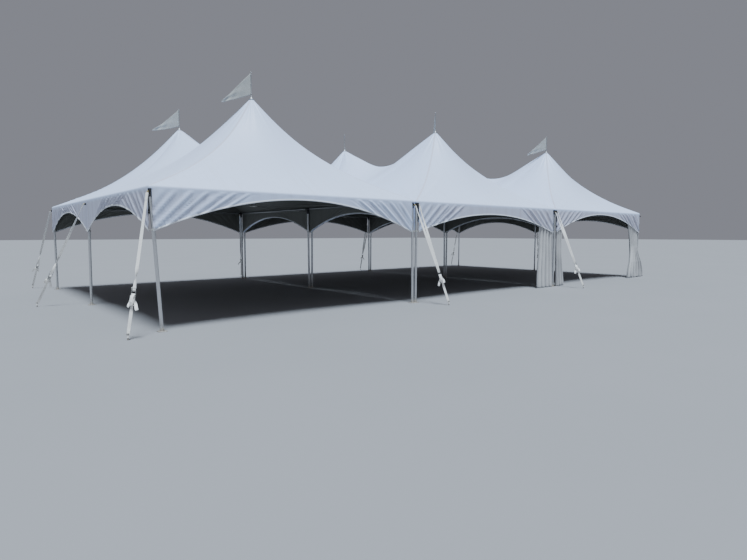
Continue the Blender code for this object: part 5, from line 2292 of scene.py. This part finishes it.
@dataclass
class ValanceTies(TentPart):
    """Rope ties that hold one canopy's valance points to its legs."""

    legs: dict[tuple[int, int], LegSet]
    radius: float = 0.004
    height: float = 1.715
    coil_turns: float = 2.15
    coil_rise: float = 0.012
    coil_steps: int = 60

    def build(self, sweep: Sweep, wardrobe: Wardrobe) -> None:
        """Builds the canopy's ties as one piece.

        Args:
            sweep: The recipe for round tubes.
            wardrobe: The finishes.
        """
        plan = self.plan
        paths = []
        for side in (-1, 1):
            for end in (-1, 0, 1):
                column, row = self.column + (side + 1) // 2, end + 1
                legs = self.legs[(column, row)]
                number = plan.fittings_at(column, row).index((self.column, side, end))
                axis = legs.at(legs.lines()[number], self.height)
                reach = legs.radius + self.radius + 0.0008
                turns = np.linspace(0, math.tau * self.coil_turns, self.coil_steps)
                rise = np.linspace(-self.coil_rise, self.coil_rise, self.coil_steps)
                coil = axis + np.stack([np.cos(turns) * reach, np.sin(turns) * reach, rise], -1)
                paths.append((coil, self.radius))
                corner = self.centre + vec(side * plan.half_x, end * plan.half_y, 0.0)
                for inward, outward in self.ways(side, end):
                    near, far = self.holes(side, end, inward)
                    height = self.height + (0.030 if end else 0.080)
                    hole = corner + inward * near + outward * 0.020 + UP * height
                    lip = corner + inward * far + outward * 0.014 + UP * (self.height + 0.010)
                    loop = axis + inward * (reach + 0.004) + outward * 0.010 + UP * 0.003
                    line = curve_through(np.array([hole, (hole + lip) / 2 + outward * 0.003, lip, loop]), 8)
                    paths.append((line, self.radius * 0.85))
        mesh = sweep.tubes(paths, wardrobe.white_rope, 10)
        add_piece(f"valance_ties_{self.name}", mesh, wardrobe.white_rope, Slot.WEBBING)

    def holes(self, side: int, end: int, inward: Array) -> Size:
        """Returns how far along its valance a rope's eyelet lies, and the edge that it passes round.

        Args:
            side: -1 for the left side and 1 for the right one.
            end: -1 for the front, 0 for the middle and 1 for the back.
            inward: The way along the valance.

        Returns:
            The two distances from the corner.
        """
        if not end:
            return 0.060, 0.046
        lug_in_way = inward[0] != 0 and self.column + (side + 1) // 2 not in (0, self.plan.columns)
        return (0.112, 0.072) if lug_in_way else (0.078, 0.040)

    def ways(self, side: int, end: int) -> list[Pair]:
        """Returns, for each rope at a leg, the way along the valance and the way that the valance faces.

        Args:
            side: -1 for the left side and 1 for the right one.
            end: -1 for the front, 0 for the middle and 1 for the back.

        Returns:
            Pairs of the two directions.
        """
        if end:
            return [(vec(-side, 0.0, 0.0), vec(0.0, end, 0.0)),
                    (vec(0.0, -end, 0.0), vec(side, 0.0, 0.0))]
        return [(vec(0.0, sign, 0.0), vec(side, 0.0, 0.0)) for sign in (-1.0, 1.0)]


def curve_through(points: Array, steps: int) -> Array:
    """Returns a smooth line through a few points.

    Args:
        points: The points, in order.
        steps: How many steps run between two of them.

    Returns:
        The line's points.
    """
    padded = np.concatenate([[2 * points[0] - points[1]], points, [2 * points[-1] - points[-2]]])
    shares = np.linspace(0, 1, steps, endpoint=False)[:, None]
    pieces = []
    for p0, p1, p2, p3 in zip(padded, padded[1:], padded[2:], padded[3:]):
        pieces.append(0.5 * (2 * p1 + (p2 - p0) * shares + (2 * p0 - 5 * p1 + 4 * p2 - p3) * shares ** 2
                             + (3 * p1 - p0 - 3 * p2 + p3) * shares ** 3))
    return np.concatenate([*pieces, points[-1:]])


@dataclass(frozen=True)
class Viewpoint:
    """Where the photograph was taken from, with its angles in degrees."""

    place: Triple = (-11.82, -13.42, 1.645)
    pitch: float = 84.97
    heading: float = -40.08
    focal_length: float = 25.084
    sensor_width: float = 36.0
    sight: float = 500.0

    def set_camera(self) -> None:
        """Adds the scene's camera."""
        lens = bpy.data.cameras.new("camera")
        lens.sensor_width = self.sensor_width
        lens.lens = self.focal_length
        lens.clip_end = self.sight
        camera = bpy.data.objects.new("camera", lens)
        camera.location = self.place
        camera.rotation_euler = (math.radians(self.pitch), 0.0, math.radians(self.heading))
        bpy.context.scene.collection.objects.link(camera)
        bpy.context.scene.camera = camera


@dataclass(frozen=True)
class Studio:
    """A plain floor under an evenly bright sky, with one soft lamp."""

    floor_reach: float = 160.0
    sky: Triple = (0.235, 0.243, 0.280)
    lamp_energy: float = 6.1
    lamp_spread: float = 18.0
    lamp_colour: Triple = (0.78, 0.89, 1.0)
    lamp_way: Triple = (0.12, 0.25, -1.0)

    def set_floor(self, finish: Material) -> None:
        """Adds the floor.

        Args:
            finish: The floor's finish.
        """
        skin = Skin()
        size = self.floor_reach
        skin.put([(-size, -size, 0), (size, -size, 0), (size, size, 0), (-size, size, 0)])
        skin.face(0, 1, 2, 3)
        floor = make_object("studio_floor", skin.mesh("studio_floor", closed=False), (finish,))

    def set_light(self) -> None:
        """Adds the sky and the lamp."""
        world = bpy.data.worlds.new("studio")
        world.use_nodes = True
        background = world.node_tree.nodes["Background"]
        background.inputs["Color"].default_value = (*self.sky, 1.0)
        background.inputs["Strength"].default_value = 1.0
        bpy.context.scene.world = world
        lamp = bpy.data.lights.new("overcast", "SUN")
        lamp.energy = self.lamp_energy
        lamp.angle = math.radians(self.lamp_spread)
        lamp.color = self.lamp_colour
        sun = bpy.data.objects.new("overcast", lamp)
        sun.rotation_euler = Vector(self.lamp_way).to_track_quat("-Z", "Y").to_euler()
        bpy.context.scene.collection.objects.link(sun)


def make_curtains(plan: Plan) -> list[Curtain]:
    """Returns the front's curtains: two that meet at the inner right legs, and one at the right end.

    Args:
        plan: The shared plan.

    Returns:
        The curtains.
    """
    inner = plan.grid_point(2, 0)[0]
    right = plan.grid_point(3, 0)[0]
    beside_plate = plan.leg_foot_offset + LegSet.plate_margin + 0.010
    beside_sleeve = plan.leg_offset + plan.sleeve_radius + 0.088
    hanging = (0.0, 0.02, 0.12, 0.42, 1.0)
    middle, left = inner - beside_plate, inner + beside_plate
    outer = (right - beside_sleeve, right - beside_sleeve, right + 0.170)
    return [
        Curtain(plan, "curtain_middle_bay", (middle - 0.67, middle - 0.72, middle - 0.81), (middle,) * 3,
                4, 0.040, hanging, 0.004),
        Curtain(plan, "curtain_right_bay_left", (left,) * 3, (left + 0.29, left + 0.33, left + 0.42),
                3, 0.040, hanging, 0.004),
        Curtain(plan, "curtain_right_bay_right", (outer[0] - 0.83, outer[1] - 0.61, outer[2] - 1.33), outer,
                6, 0.125, (0.0, 0.0, 0.20, 0.90, 1.0), 0.012),
    ]


def write_sizes() -> None:
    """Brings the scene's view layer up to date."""
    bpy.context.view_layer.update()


def main() -> None:
    """Builds the dressed marquee."""
    logging.basicConfig(level=logging.INFO, format="%(message)s")
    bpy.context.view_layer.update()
    plan = Plan()
    Viewpoint().set_camera()
    wardrobe = Wardrobe(plan)
    studio = Studio()
    studio.set_floor(wardrobe.floor)
    studio.set_light()
    sweep, scatter, flag_wave = Sweep(), Scatter(), FlagWave()
    legs = {(column, row): LegSet(plan, column, row, KICKS.get((column, row), (0.0, 0.0)))
            for column in range(plan.columns + 1) for row in range(plan.rows + 1)}
    for leg_set in legs.values():
        leg_set.build(sweep, wardrobe)
    for column in range(plan.columns):
        Canopy(plan, column).build(wardrobe)
        EaveFrame(plan, column).build(sweep, wardrobe)
        ValanceTies(plan, column, legs).build(sweep, wardrobe)
        for row in range(plan.rows):
            Mast(plan, column, row).build(wardrobe)
            CableCross(plan, column, row).build(sweep, wardrobe)
            Pennant(plan, column, row, *FLIGHTS[(column, row)]).build(flag_wave, wardrobe)
    for (column, row), stake in STAKES.items():
        GuyStrap(plan, column, row, stake, TWISTS[(column, row)]).build(sweep, wardrobe)
    for curtain in make_curtains(plan):
        curtain.rings(scatter, wardrobe)
        curtain.build(wardrobe)
    write_sizes()


if __name__ == "__main__":
    main()
